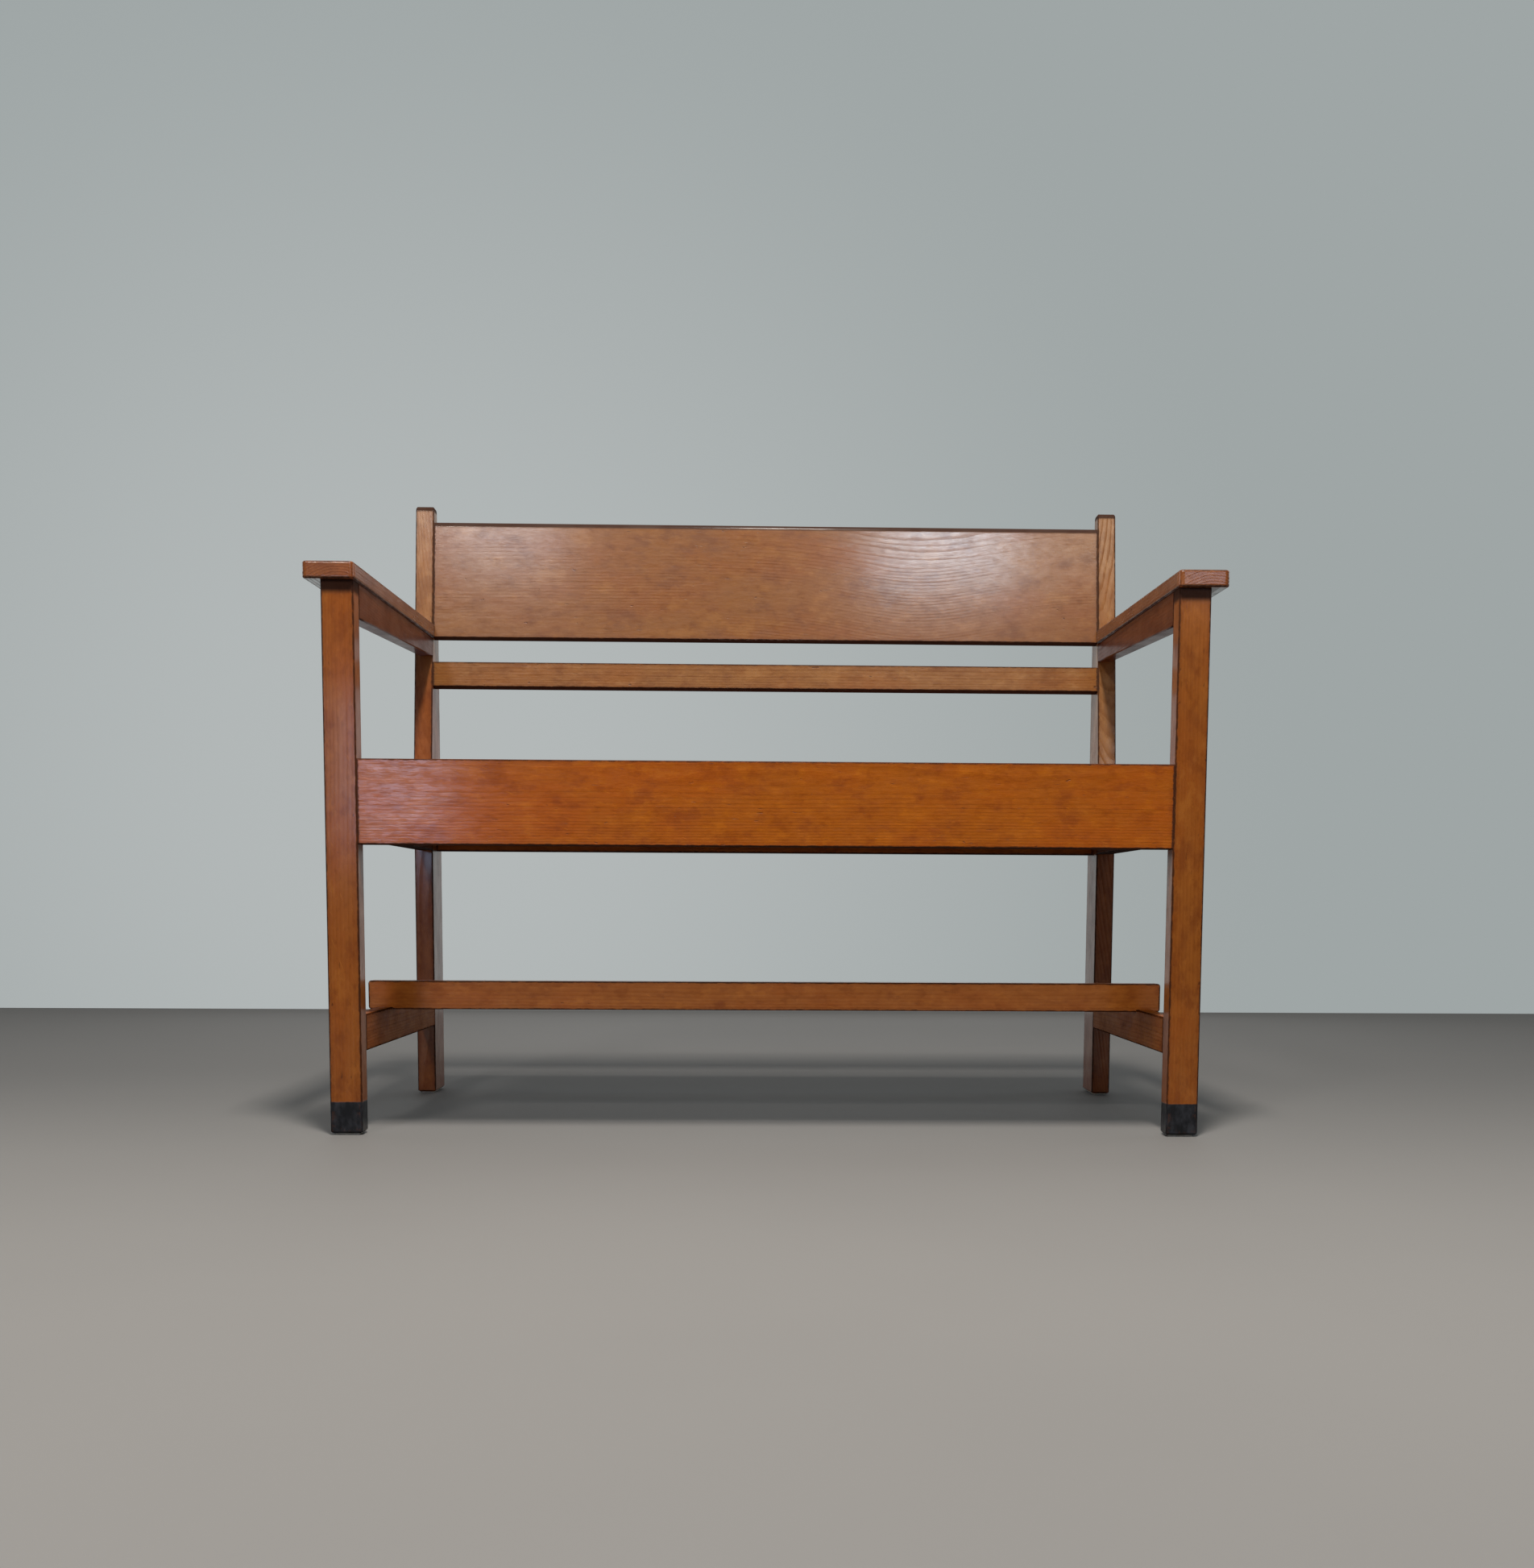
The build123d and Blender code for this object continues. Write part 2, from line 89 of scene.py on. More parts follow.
def srgb(code):
    """Linear colour of a six-digit web colour."""
    parts = [int(code[i : i + 2], 16) / 255 for i in (1, 3, 5)]
    return [c / 12.92 if c <= 0.04045 else ((c + 0.055) / 1.055) ** 2.4 for c in parts]


def colour(name, code, description):
    """A colour setting of the panel."""
    return FloatVectorProperty(
        name=name,
        description=description,
        subtype="COLOR",
        min=0,
        max=1,
        default=srgb(code),
    )


def length(name, default, description):
    """A length setting of the panel, in metres."""
    return FloatProperty(name=name, description=description, unit="LENGTH", default=default)


def power(name, default, description):
    """A lamp's power, in watts."""
    return FloatProperty(name=name, description=description, unit="POWER", default=default)


def angle(name, degrees, description):
    """An angle setting of the panel."""
    return FloatProperty(
        name=name, description=description, subtype="ANGLE", default=radians(degrees)
    )


class SettleFinish(bpy.types.PropertyGroup):
    """Colours and sizes of the stain, the varnish, the paint, the wear and the painted shade."""

    apron_stain: colour("Apron", "#9E5309", "Stained earlywood of the apron")
    leg_stain: colour("Legs", "#8A4E18", "Stained earlywood of the legs and the side stretchers")
    post_stain: colour("Posts", "#8A6139", "Stained earlywood of the back posts above the seat")
    # Painted shade: the posts change to this darker stain lower down, where the seat and the arms
    # shade them
    shaded_low_post_stain: colour("Lower posts", "#80461E", "Stained earlywood of the posts lower down")
    arm_stain: colour("Arms", "#623417", "Stained earlywood of the arms")
    arm_end_stain: colour("Arm ends", "#844B20", "Stained earlywood of the arms' worn front ends")
    side_stain: colour("Side rails", "#5F3015", "Stained earlywood of the rails from leg to post")
    back_stain: colour("Back", "#7A4D22", "Stained earlywood of the back board")
    rail_stain: colour("Back rail", "#82582F", "Stained earlywood of the narrow rail of the back")
    # Painted light: a stain made brighter to make up for the little lamp light that reaches the
    # stretcher under the seat
    painted_light_stretcher_stain: colour("Stretcher", "#BE6C27", "Stained earlywood of the long stretcher")
    seat_stain: colour("Seat", "#84481A", "Stained earlywood of the seat boards")
    bare_wood: colour("Bare wood", "#BE9362", "Unstained softwood of the hidden pieces")
    # Besides dirt, this colour paints shade: the painted shadow below the arms and the painted
    # shade on faces that look down; it also darkens the tops of the posts and the back board
    grime_and_shade: colour("Grime", "#2A140B", "Dark line of old varnish and dirt along edges and joints")
    band_paint: colour("Foot band", "#17181B", "Paint round the bottom of the front legs")
    felt: colour("Felt", "#D6D0C4", "Pads under the feet")
    steel: colour("Steel", "#8E8C88", "Screws")
    ring_width: length("Ring width", 0.0026, "Usual thickness of one growth ring")
    band_height: length("Foot band height", 0.040, "Height of the painted band above the floor")
    top_band: length("Top band", 0.0075, "Height of the dark band along the tops of the back")
    # Painted shadow of the arms: a dark band across the tops of the legs, up to about this height
    painted_arm_shadow: length("Under the arms", 0.014, "Height of the darker varnish below the arms")
    edge_line: length("Edge line", 0.0019, "Width of the dark line along edges and joints")
    relief: length("Relief", 0.0003, "Depth of the grain that shows through the varnish")


class SettleStage(bpy.types.PropertyGroup):
    """Floor, wall, lamps and camera."""

    floor_colour: colour("Floor", "#7B7A78", "Plain floor")
    wall_colour: colour("Wall", "#9FA6A6", "Plain wall")
    # Painted pool of lamp light on the wall behind the settle
    painted_glow_colour: colour("Wall glow", "#B3B8B8", "Paler middle of the wall, behind the settle")
    stage_depth: length("Stage depth", 2.0, "From the settle's middle to the wall")
    overhead_power: power("Overhead lamp", 132, "Lamp above the front of the settle")
    left_power: power("Left lamp", 32, "Soft lamp in front, high on the left")
    window_power: power("Window lamp", 2.9, "Dim lamp in front on the left, for the board's sheen")
    low_power: power("Low lamp", 3.4, "Dim lamp in front, low on the left, for the apron's sheen")
    end_power: power("End lamp", 1.1, "Dim lamp in front, far on the right")
    right_power: power("Right lamp", 10.5, "Soft lamp in front, high on the right")
    side_power: power("Side lamp", 2.2, "Dim lamp in front, high and far on the right")
    back_power: power("Back lamp", 12, "Wide soft lamp behind the settle")
    fill_power: power("Fill lamps", 8, "Two dim soft lamps, one at each side")
    ambient: FloatProperty(
        name="Surroundings",
        description="Level of the light from all round",
        default=0.13,
    )
    camera_place: FloatVectorProperty(
        name="Camera place",
        description="Where the camera stands",
        subtype="TRANSLATION",
        unit="LENGTH",
        default=(-0.0094, -2.0672, 0.2740),
    )
    camera_yaw: angle("Yaw", 1.24, "Turn to the right")
    camera_pitch: angle("Pitch", -4.73, "Tilt upwards")
    camera_roll: angle("Roll", 0.31, "Turn about the line of sight")
    camera_lens: FloatProperty(
        name="Lens",
        description="Focal length for a 36 mm picture",
        subtype="DISTANCE_CAMERA",
        default=35.315,
    )
    camera_shift: FloatVectorProperty(
        name="Shift",
        description="Sideways and upward shift of the picture, as shares of its longer side",
        size=2,
        default=(-0.0161, 0.1597),
    )


class NodeSheet:
    """Adds nodes to a tree from left to right, with their settings and links."""

    def __init__(self, tree):
        self.tree = tree
        self.columns = 0

    def add(self, kind, inputs=None, **settings):
        node = self.tree.nodes.new(kind)
        node.location.x = self.columns * NODE_COLUMN
        self.columns += 1
        for name, value in settings.items():
            setattr(node, name, value)
        for key, value in (inputs or {}).items():
            self.feed(node.inputs[key], value)
        return node

    def feed(self, socket, value):
        """Links another socket to this one, or sets it to a plain value."""
        if isinstance(value, bpy.types.NodeSocket):
            self.tree.links.new(value, socket)
        elif socket.type == "RGBA" and len(value) == 3:
            socket.default_value = (*value, 1)
        else:
            socket.default_value = value

    def math(self, operation, *values):
        inputs = dict(enumerate(values))
        return self.add("ShaderNodeMath", inputs, operation=operation).outputs[0]

    def vector_math(self, operation, *values):
        inputs = dict(enumerate(values))
        return self.add("ShaderNodeVectorMath", inputs, operation=operation).outputs[0]

    def vector_length(self, vector):
        node = self.add("ShaderNodeVectorMath", {0: vector}, operation="LENGTH")
        return node.outputs["Value"]

    def stretch(self, vector, scale):
        """The same place in coordinates that are scaled along each axis."""
        return self.vector_math("MULTIPLY", vector, scale)

    def scaled(self, vector, factor):
        inputs = {0: vector, "Scale": factor}
        return self.add("ShaderNodeVectorMath", inputs, operation="SCALE").outputs[0]

    def noise(self, vector, detail=2.0, roughness=0.5):
        """Noise with cells one unit across, as its value and its colour."""
        inputs = {"Vector": vector, "Scale": 1.0, "Detail": detail, "Roughness": roughness}
        return self.add("ShaderNodeTexNoise", inputs).outputs

    def ramp(self, value, low, high, at_low=0.0, at_high=1.0):
        """Smooth step of a value between two limits."""
        inputs = {
            "Value": value,
            "From Min": low,
            "From Max": high,
            "To Min": at_low,
            "To Max": at_high,
        }
        node = self.add("ShaderNodeMapRange", inputs, interpolation_type="SMOOTHSTEP")
        return node.outputs[0]

    def mix(self, factor, first, second):
        """Mix of two colours."""
        inputs = {MIX_FACTOR: factor, MIX_FIRST: first, MIX_SECOND: second}
        return self.add("ShaderNodeMix", inputs, data_type="RGBA").outputs[MIX_RESULT]

    def laid_over(self, tint, mask, strength, shade):
        """A shade over the tint where the mask is, at most at this strength."""
        return self.mix(self.math("MULTIPLY", mask, strength), tint, shade)

    def less(self, value, mask, share):
        """A value that loses a share of itself where the mask is full."""
        return self.math("MULTIPLY", value, self.math("MULTIPLY_ADD", mask, -share, 1.0))

    def split(self, vector):
        return self.add("ShaderNodeSeparateXYZ", {0: vector}).outputs

    def join(self, x, y, z):
        return self.add("ShaderNodeCombineXYZ", {0: x, 1: y, 2: z}).outputs[0]

    def group(self, name, inputs):
        """One of the shared node groups, as its outputs by name."""
        node = self.add("ShaderNodeGroup", node_tree=bpy.data.node_groups[name])
        for label, value in inputs.items():
            self.feed(node.inputs[label], value)
        return {socket.name: socket for socket in node.outputs}


def new_group(name, inputs, outputs):
    """An empty node group, as its sheet, its incoming sockets and its outgoing ones."""
    tree = bpy.data.node_groups.new(name, "ShaderNodeTree")
    kinds = {"vector": "NodeSocketVector", "value": "NodeSocketFloat"}
    for label, kind in inputs:
        tree.interface.new_socket(label, in_out="INPUT", socket_type=kinds[kind])
    for label in outputs:
        tree.interface.new_socket(label, in_out="OUTPUT", socket_type=kinds["value"])
    sheet = NodeSheet(tree)
    entry = sheet.add("NodeGroupInput").outputs
    leave = tree.nodes.new("NodeGroupOutput")
    leave.location.x = NODE_COLUMN
    return sheet, entry, leave.inputs


# Node groups shared by the finishes. In each, Z runs along the grain.

def growth_rings():
    """Rings round a pith line, bent by slow wandering and by one dip, as round a knot."""
    sheet, entry, leave = new_group(
        "growth_rings",
        [
            ("Vector", "vector"),
            ("Pith", "vector"),
            ("Ring width", "value"),
            ("Wander", "value"),
            ("Dip place", "value"),
            ("Dip reach", "value"),
            ("Dip depth", "value"),
            ("Seed", "vector"),
        ],
        ["Latewood"],
    )
    wander_scale = (9.0, 9.0, 1.6)
    uneven_scale = (60.0, 60.0, 5.0)
    fading_scale = (16.0, 16.0, 5.0)
    middle_grey = (0.5, 0.5, 0.5)
    uneven_share = 0.8  # of a ring
    latewood_rise = (0.30, 0.86)  # within one ring
    latewood_fall = (0.93, 1.0)
    faintest_ring = 0.4
    fading = (0.44, 0.66)
    faded = 0.08

    place = sheet.vector_math("ADD", sheet.stretch(entry["Vector"], wander_scale), entry["Seed"])
    sway = sheet.vector_math("SUBTRACT", sheet.noise(place, 3.0)[1], middle_grey)
    moved = sheet.vector_math("ADD", entry["Vector"], sheet.scaled(sway, entry["Wander"]))
    from_pith = sheet.split(sheet.vector_math("SUBTRACT", moved, entry["Pith"]))

    along = sheet.split(entry["Vector"])[ALONG]
    from_dip = sheet.math("SUBTRACT", along, entry["Dip place"])
    reach = sheet.math("DIVIDE", from_dip, entry["Dip reach"])
    squared = sheet.math("MULTIPLY", reach, reach)
    bell = sheet.math("EXPONENT", sheet.math("MULTIPLY", squared, -1.0))
    bent = sheet.math("MULTIPLY", bell, entry["Dip depth"])
    across = sheet.math("ADD", from_pith[ACROSS], bent)
    radius = sheet.vector_length(sheet.join(across, from_pith[DEPTH], 0.0))

    rough_rings = sheet.noise(sheet.stretch(entry["Vector"], uneven_scale))[0]
    uneven = sheet.math("MULTIPLY", rough_rings, uneven_share)
    count = sheet.math("ADD", sheet.math("DIVIDE", radius, entry["Ring width"]), uneven)
    part = sheet.math("FRACT", count)
    rise = sheet.ramp(part, *latewood_rise)
    fall = sheet.ramp(part, *latewood_fall, 1.0, 0.0)
    ring = sheet.math("FLOOR", count)
    random = sheet.add("ShaderNodeTexWhiteNoise", {"W": ring}, noise_dimensions="1D")
    tone = random.outputs["Value"]
    strength = sheet.math("MULTIPLY_ADD", tone, 1.0 - faintest_ring, faintest_ring)

    place = sheet.vector_math("ADD", sheet.stretch(entry["Vector"], fading_scale), entry["Seed"])
    clear = sheet.ramp(sheet.noise(place, 3.0, 0.6)[0], *fading, faded, 1.0)
    clear = sheet.math("MAXIMUM", clear, bell)
    line = sheet.math("MULTIPLY", sheet.math("MULTIPLY", rise, fall), strength)
    sheet.feed(leave["Latewood"], sheet.math("MULTIPLY", line, clear))


def wood_fibre():
    """Fine streaks and dark flecks along the grain, with slanting light scratches."""
    sheet, entry, leave = new_group(
        "wood_fibre",
        [("Vector", "vector"), ("Seed", "vector")],
        ["Streak", "Ripple", "Dark fleck", "Light fleck"],
    )
    scales = {
        "Streak": (1000.0, 1000.0, 100.0),
        "Ripple": (110.0, 110.0, 32.0),
        "Dark fleck": (420.0, 420.0, 45.0),
        "Light fleck": (420.0, 420.0, 50.0),
    }
    fleck_limits = {"Dark fleck": (0.69, 0.79), "Light fleck": (0.67, 0.76)}
    slant = {"Vector": entry["Vector"], "Rotation": (0.0, 0.35, 0.0)}
    slanted = sheet.add("ShaderNodeMapping", slant).outputs[0]
    for number, (label, scale) in enumerate(scales.items()):
        vector = slanted if label == "Light fleck" else entry["Vector"]
        place = sheet.vector_math("ADD", sheet.stretch(vector, scale), entry["Seed"])
        shifted = sheet.vector_math("ADD", place, (number * LAYER_STEP, 0.0, 0.0))
        value = sheet.noise(shifted, 2.0, 0.6)[0]
        if label in fleck_limits:
            value = sheet.ramp(value, *fleck_limits[label])
        sheet.feed(leave[label], value)


def stain_patches():
    """Slow patches where the stain and the varnish lie thicker or are rubbed thin."""
    sheet, entry, leave = new_group(
        "stain_patches",
        [("Vector", "vector"), ("Seed", "vector")],
        ["Patch", "Rub", "Mottle"],
    )
    scales = {
        "Patch": (14.0, 14.0, 6.0),
        "Rub": (38.0, 38.0, 22.0),
        "Mottle": (85.0, 85.0, 50.0),
    }
    for label, scale in scales.items():
        place = sheet.vector_math("ADD", sheet.stretch(entry["Vector"], scale), entry["Seed"])
        sheet.feed(leave[label], sheet.noise(place, 4.0, 0.6)[0])


def box_edges():
    """Distance to the nearest edge of a box centred on the origin, its front cut back or not."""
    sheet, entry, leave = new_group(
        "box_edges",
        [("Vector", "vector"), ("Half size", "vector"), ("Cut back", "value")],
        ["Distance"],
    )
    place = sheet.vector_math("ABSOLUTE", entry["Vector"])
    x, whole_depth, z = sheet.split(sheet.vector_math("SUBTRACT", entry["Half size"], place))
    depth = sheet.split(entry["Vector"])[DEPTH]
    half_depth = sheet.split(entry["Half size"])[DEPTH]
    from_front = sheet.math("ADD", half_depth, depth)
    from_cut = sheet.math("ABSOLUTE", sheet.math("SUBTRACT", from_front, entry["Cut back"]))
    y = sheet.math("MINIMUM", whole_depth, from_cut)
    least = sheet.math("MINIMUM", x, y)
    most = sheet.math("MAXIMUM", x, y)
    sheet.feed(leave["Distance"], sheet.math("MAXIMUM", least, sheet.math("MINIMUM", most, z)))


def edge_wear():
    """Dark line along edges and joints, and dents, both broken up by noise."""
    sheet, entry, leave = new_group(
        "edge_wear",
        [("Vector", "vector"), ("Distance", "value"), ("Line width", "value"), ("Seed", "vector")],
        ["Line", "Rubbed", "Dent"],
    )
    ragged_scale = (260.0, 260.0, 120.0)
    ragged_limits = (0.3, 0.75)
    line_widths = (0.9, 1.9)  # thinnest and thickest, in line widths
    line_fade = (0.35, 1.0)
    rubbed_reach = 5.0  # in line widths
    rubbed_fade = (0.2, 1.0)
    rubbed_limits = (0.5, 0.62)
    dent_scale = (150.0, 150.0, 70.0)
    dent_limits = (0.73, 0.79)
    more_at_edges = 0.05

    ragged = sheet.noise(sheet.stretch(entry["Vector"], ragged_scale), 3.0, 0.6)[0]
    share = sheet.ramp(ragged, *ragged_limits, *line_widths)
    width = sheet.math("MULTIPLY", entry["Line width"], share)
    line = sheet.ramp(sheet.math("DIVIDE", entry["Distance"], width), *line_fade, 1.0, 0.0)
    far = sheet.math("MULTIPLY", entry["Line width"], rubbed_reach)
    from_edge = sheet.math("DIVIDE", entry["Distance"], far)
    near_edge = sheet.ramp(from_edge, *rubbed_fade, 1.0, 0.0)
    rubbed = sheet.math("MULTIPLY", near_edge, sheet.ramp(ragged, *rubbed_limits))
    place = sheet.vector_math("ADD", sheet.stretch(entry["Vector"], dent_scale), entry["Seed"])
    easier = sheet.math("MULTIPLY", near_edge, more_at_edges)
    spots = sheet.math("ADD", sheet.noise(place, 2.0, 0.6)[0], easier)
    sheet.feed(leave["Line"], line)
    sheet.feed(leave["Rubbed"], rubbed)
    sheet.feed(leave["Dent"], sheet.ramp(spots, *dent_limits))


GROUP_MAKERS = (growth_rings, wood_fibre, stain_patches, box_edges, edge_wear)


# How each piece lies, how its grain runs and how it is finished

class Lie(NamedTuple):
    """A piece's middle, its directions along and across the grain, and its half sizes in them."""

    middle: Vector
    along: Vector
    across: Vector
    half: Vector

    def turn(self):
        depth = self.along.cross(self.across)
        return Matrix((self.across, depth, self.along)).transposed().to_euler()


class Grain(NamedTuple):
    """Where the pith lies from the piece's middle, and how the rings run."""

    pith_across: float
    pith_depth: float
    ring_share: float = 1.0  # of the usual ring width
    wander: float = 0.006
    run_off: float = 0.0  # angle between the grain and the piece
    dip: tuple = (0.0, 1.0, 0.0)  # place along, reach and depth
    contrast: float = 0.5
    broken: float = 0.0  # how far fine streaks break up the sheen


class Treatment(NamedTuple):
    """How a piece is finished over its stain."""

    varnished: bool = True
    gloss: float = 1.0
    cut_back: bool = False  # whether its front leans back above the kink
    dark_top: tuple = ()  # axis that points to a darker band at the top, and its height
    low_end: tuple = ()  # stain of its lower end, and where that starts and stops to change
    painted: bool = False
    # whether faces that look down are dull, without varnish, and darkened with painted shade
    bare_below: bool = False


class StainLayer(NamedTuple):
    """A shade of the stain that follows a mask, with its strengths at the mask's two limits."""

    mask: str
    shade: str
    limits: tuple
    strengths: tuple


# Shades of a stain, as shares of its red, green and blue
SHADES = {
    "plain": (1.0, 1.0, 1.0),
    "deep": (0.52, 0.36, 0.26),
    "ember": (1.00, 0.80, 0.58),
    "pale": (1.30, 1.42, 1.60),
}

STAIN_LAYERS = (
    StainLayer("Patch", "ember", (0.42, 0.66), (0.0, 0.60)),
    StainLayer("Rub", "deep", (0.50, 0.70), (0.0, 0.50)),
    StainLayer("Rub", "pale", (0.30, 0.46), (0.60, 0.0)),
    StainLayer("Mottle", "deep", (0.50, 0.72), (0.0, 0.42)),
    StainLayer("Mottle", "pale", (0.30, 0.46), (0.40, 0.0)),
    StainLayer("Streak", "deep", (0.42, 0.70), (0.0, 0.12)),
)

# Small marks over the stain: mask, shade and strength
MARKS = (
    ("Light fleck", "pale", 0.60),
    ("Dark fleck", "grime_and_shade", 0.65),
    ("Rubbed", "pale", 0.35),
    ("Dent", "grime_and_shade", 0.55),
)

# How high each mask stands in the relief
HEIGHTS = {"Latewood": 0.35, "Streak": 0.28, "Ripple": 1.3, "Dark fleck": -0.5, "Dent": -0.8}


def lie_of(node, along, across, shoulders=None):
    """How a straight piece lies. Shoulders limit it along the grain where it has tenons."""
    low, high = (Vector(corner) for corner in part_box(node))
    if shoulders:
        axis = max(range(3), key=lambda i: abs(along[i]))
        low[axis], high[axis] = shoulders
    size = (high - low) / 2
    directions = (across, along.cross(across), along)
    half = Vector([sum(abs(d[i]) * size[i] for i in range(3)) for d in directions])
    return Lie((low + high) / 2, along, across, half)


def inner_faces():
    """The two inner faces of the legs, between which the cross rails run."""
    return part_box("front_leg_left")[1][0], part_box("front_leg_right")[0][0]


def leg_to_post():
    """The back of the legs and the front of the posts, between which the side rails run."""
    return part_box("front_leg_left")[1][1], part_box("back_post_left")[0][1]


def leg_to_raked_post(height):
    """The same at a height above the kink, where the posts' fronts lean back."""
    leg_back, post_front = leg_to_post()
    return leg_back, post_front + (height - KINK_HEIGHT) * tan(RAKE)


def finish():
    return bpy.context.scene.settle_finish


def clear_material(name):
    material = bpy.data.materials.new(name)
    material.use_nodes = True
    material.node_tree.nodes.clear()
    return material, NodeSheet(material.node_tree)


def object_place(sheet):
    return sheet.add("ShaderNodeTexCoord").outputs["Object"]


def piece_place(sheet, lie):
    """Place on the surface, from the piece's middle, as (across, depth, along)."""
    inputs = {"Vector": object_place(sheet), "Location": lie.middle, "Rotation": lie.turn()}
    return sheet.add("ShaderNodeMapping", inputs, vector_type="TEXTURE").outputs[0]


def shades(stain):
    """The shades of a stain, by name."""
    return {
        name: [min(1.0, c * share) for c, share in zip(stain, shares)]
        for name, shares in SHADES.items()
    }


def wood_masks(sheet, place, pattern, lie, grain, cut_back):
    """Every mask of a piece's grain, patches and wear, by name."""
    offset = [pattern * step for step in PATTERN_STEPS]
    cut = 0.0
    if cut_back:
        above = sheet.math("SUBTRACT", sheet.split(place)[ALONG], KINK_HEIGHT - lie.middle.z)
        cut = sheet.math("MULTIPLY", sheet.math("MAXIMUM", above, 0.0), tan(RAKE))
    run = {"Vector": place, "Rotation": (0.0, grain.run_off, 0.0)}
    along_grain = sheet.add("ShaderNodeMapping", run).outputs[0]
    rings = {
        "Vector": along_grain,
        "Pith": (grain.pith_across, grain.pith_depth, 0.0),
        "Ring width": finish().ring_width * grain.ring_share,
        "Wander": grain.wander,
        "Dip place": grain.dip[0],
        "Dip reach": grain.dip[1],
        "Dip depth": grain.dip[2],
        "Seed": offset,
    }
    masks = sheet.group("growth_rings", rings)
    masks |= sheet.group("wood_fibre", {"Vector": along_grain, "Seed": offset})
    masks |= sheet.group("stain_patches", {"Vector": place, "Seed": offset})
    edges = {"Vector": place, "Half size": lie.half, "Cut back": cut}
    masks |= sheet.group("box_edges", edges)
    wear = {
        "Vector": place,
        "Distance": masks["Distance"],
        "Line width": finish().edge_line,
        "Seed": offset,
    }
    masks |= sheet.group("edge_wear", wear)
    return masks


def stain_colour(sheet, place, masks, lie, grain, stain, treatment):
    """Colour of a stained piece, and the mask of its dark lines and band."""
    tones = shades(stain)
    # On the posts the darker lower end is painted shade; on the arms the paler front end is wear
    if treatment.low_end:
        end_stain, start, stop = treatment.low_end
        above = sheet.ramp(sheet.split(place)[ALONG], start, stop)
        ends = shades(end_stain)
        tones = {name: sheet.mix(above, ends[name], tone) for name, tone in tones.items()}
    tones["grime_and_shade"] = finish().grime_and_shade
    tint = sheet.laid_over(tones["plain"], masks["Latewood"], grain.contrast, tones["deep"])
    for layer in STAIN_LAYERS:
        strength = sheet.ramp(masks[layer.mask], *layer.limits, *layer.strengths)
        tint = sheet.mix(strength, tint, tones[layer.shade])
    for mask, shade, strength in MARKS:
        tint = sheet.laid_over(tint, masks[mask], strength, tones[shade])
    dark = masks["Line"]
    if treatment.varnished:
        soft_reach, soft_strength = 0.009, 0.35
        line_strength = 0.88
        softly = sheet.ramp(masks["Distance"], 0.0, soft_reach, soft_strength, 0.0)
        tint = sheet.mix(softly, tint, tones["deep"])
        tint = sheet.laid_over(tint, masks["Line"], line_strength, tones["grime_and_shade"])
    # A dark band along the top: on the legs a painted shadow of the arms, on the posts and the
    # back board a darker rounded top
    if treatment.dark_top:
        axis, height = treatment.dark_top
        band_strength = 0.94
        fade = (height * 0.75, height * 1.3)
        below_top = sheet.math("SUBTRACT", lie.half[axis], sheet.split(place)[axis])
        band = sheet.ramp(below_top, *fade, band_strength, 0.0)
        tint = sheet.mix(band, tint, tones["grime_and_shade"])
        dark = sheet.math("MAXIMUM", dark, band)
    return tint, dark


def varnish_coat(sheet, masks, dark, grain, gloss):
    """Strength of the clear coat, thinner on latewood, streaks and dark lines."""
    mottle_limits, weights = (0.35, 0.65), (0.85 * gloss, 0.60 * gloss)
    ring_limits, ring_shares = (0.0, 0.8), (1.1, 1.1 - 1.6 * grain.contrast)
    streak_limits = (0.44, 0.56)
    streak_shares = (1.0 + 0.5 * grain.broken, 1.0 - grain.broken)
    lost_on_dark = 0.95
    coat = sheet.ramp(masks["Mottle"], *mottle_limits, *weights)
    rings = sheet.ramp(masks["Latewood"], *ring_limits, *ring_shares)
    coat = sheet.math("MULTIPLY", coat, rings)
    streaks = sheet.ramp(masks["Streak"], *streak_limits, *streak_shares)
    coat = sheet.math("MULTIPLY", coat, streaks)
    dark = sheet.math("MAXIMUM", dark, masks["Dark fleck"])
    return sheet.less(coat, dark, lost_on_dark)


def wood_roughness(sheet, masks, dark, varnished):
    """Roughness of varnished or bare wood, higher where it is rubbed or dirty."""
    smooth, worn = (0.30, 0.42) if varnished else (0.62, 0.80)
    rub_limits = (0.35, 0.70)
    more_on_dirt = 0.45
    dull = sheet.ramp(masks["Rub"], *rub_limits)
    rough = sheet.math("MULTIPLY_ADD", dull, worn - smooth, smooth)
    if varnished:
        rough = sheet.math("MULTIPLY_ADD", dark, more_on_dirt, rough)
    return rough


def relief_height(sheet, masks):
    """Height of the surface, from the grain, its flecks and the dents."""
    height = 0.0
    for mask, share in HEIGHTS.items():
        height = sheet.math("MULTIPLY_ADD", masks[mask], share, height)
    return height


def shaded_bare_underside(sheet, tint, rough, coat):
    """Dull wood without varnish on the faces that look down, darkened there with painted shade."""
    downwards = (-0.9, -0.5)  # upward part of the normal, from a full effect to none
    # Painted shade: how far the faces that look down are darkened
    painted_shade_strength = 0.85
    normal = sheet.add("ShaderNodeNewGeometry").outputs["True Normal"]
    below = sheet.ramp(sheet.split(normal)[2], *downwards, 1.0, 0.0)
    tint = sheet.laid_over(tint, below, painted_shade_strength, finish().grime_and_shade)
    rough = sheet.math("MAXIMUM", rough, below)
    return tint, rough, sheet.less(coat, below, 1.0)


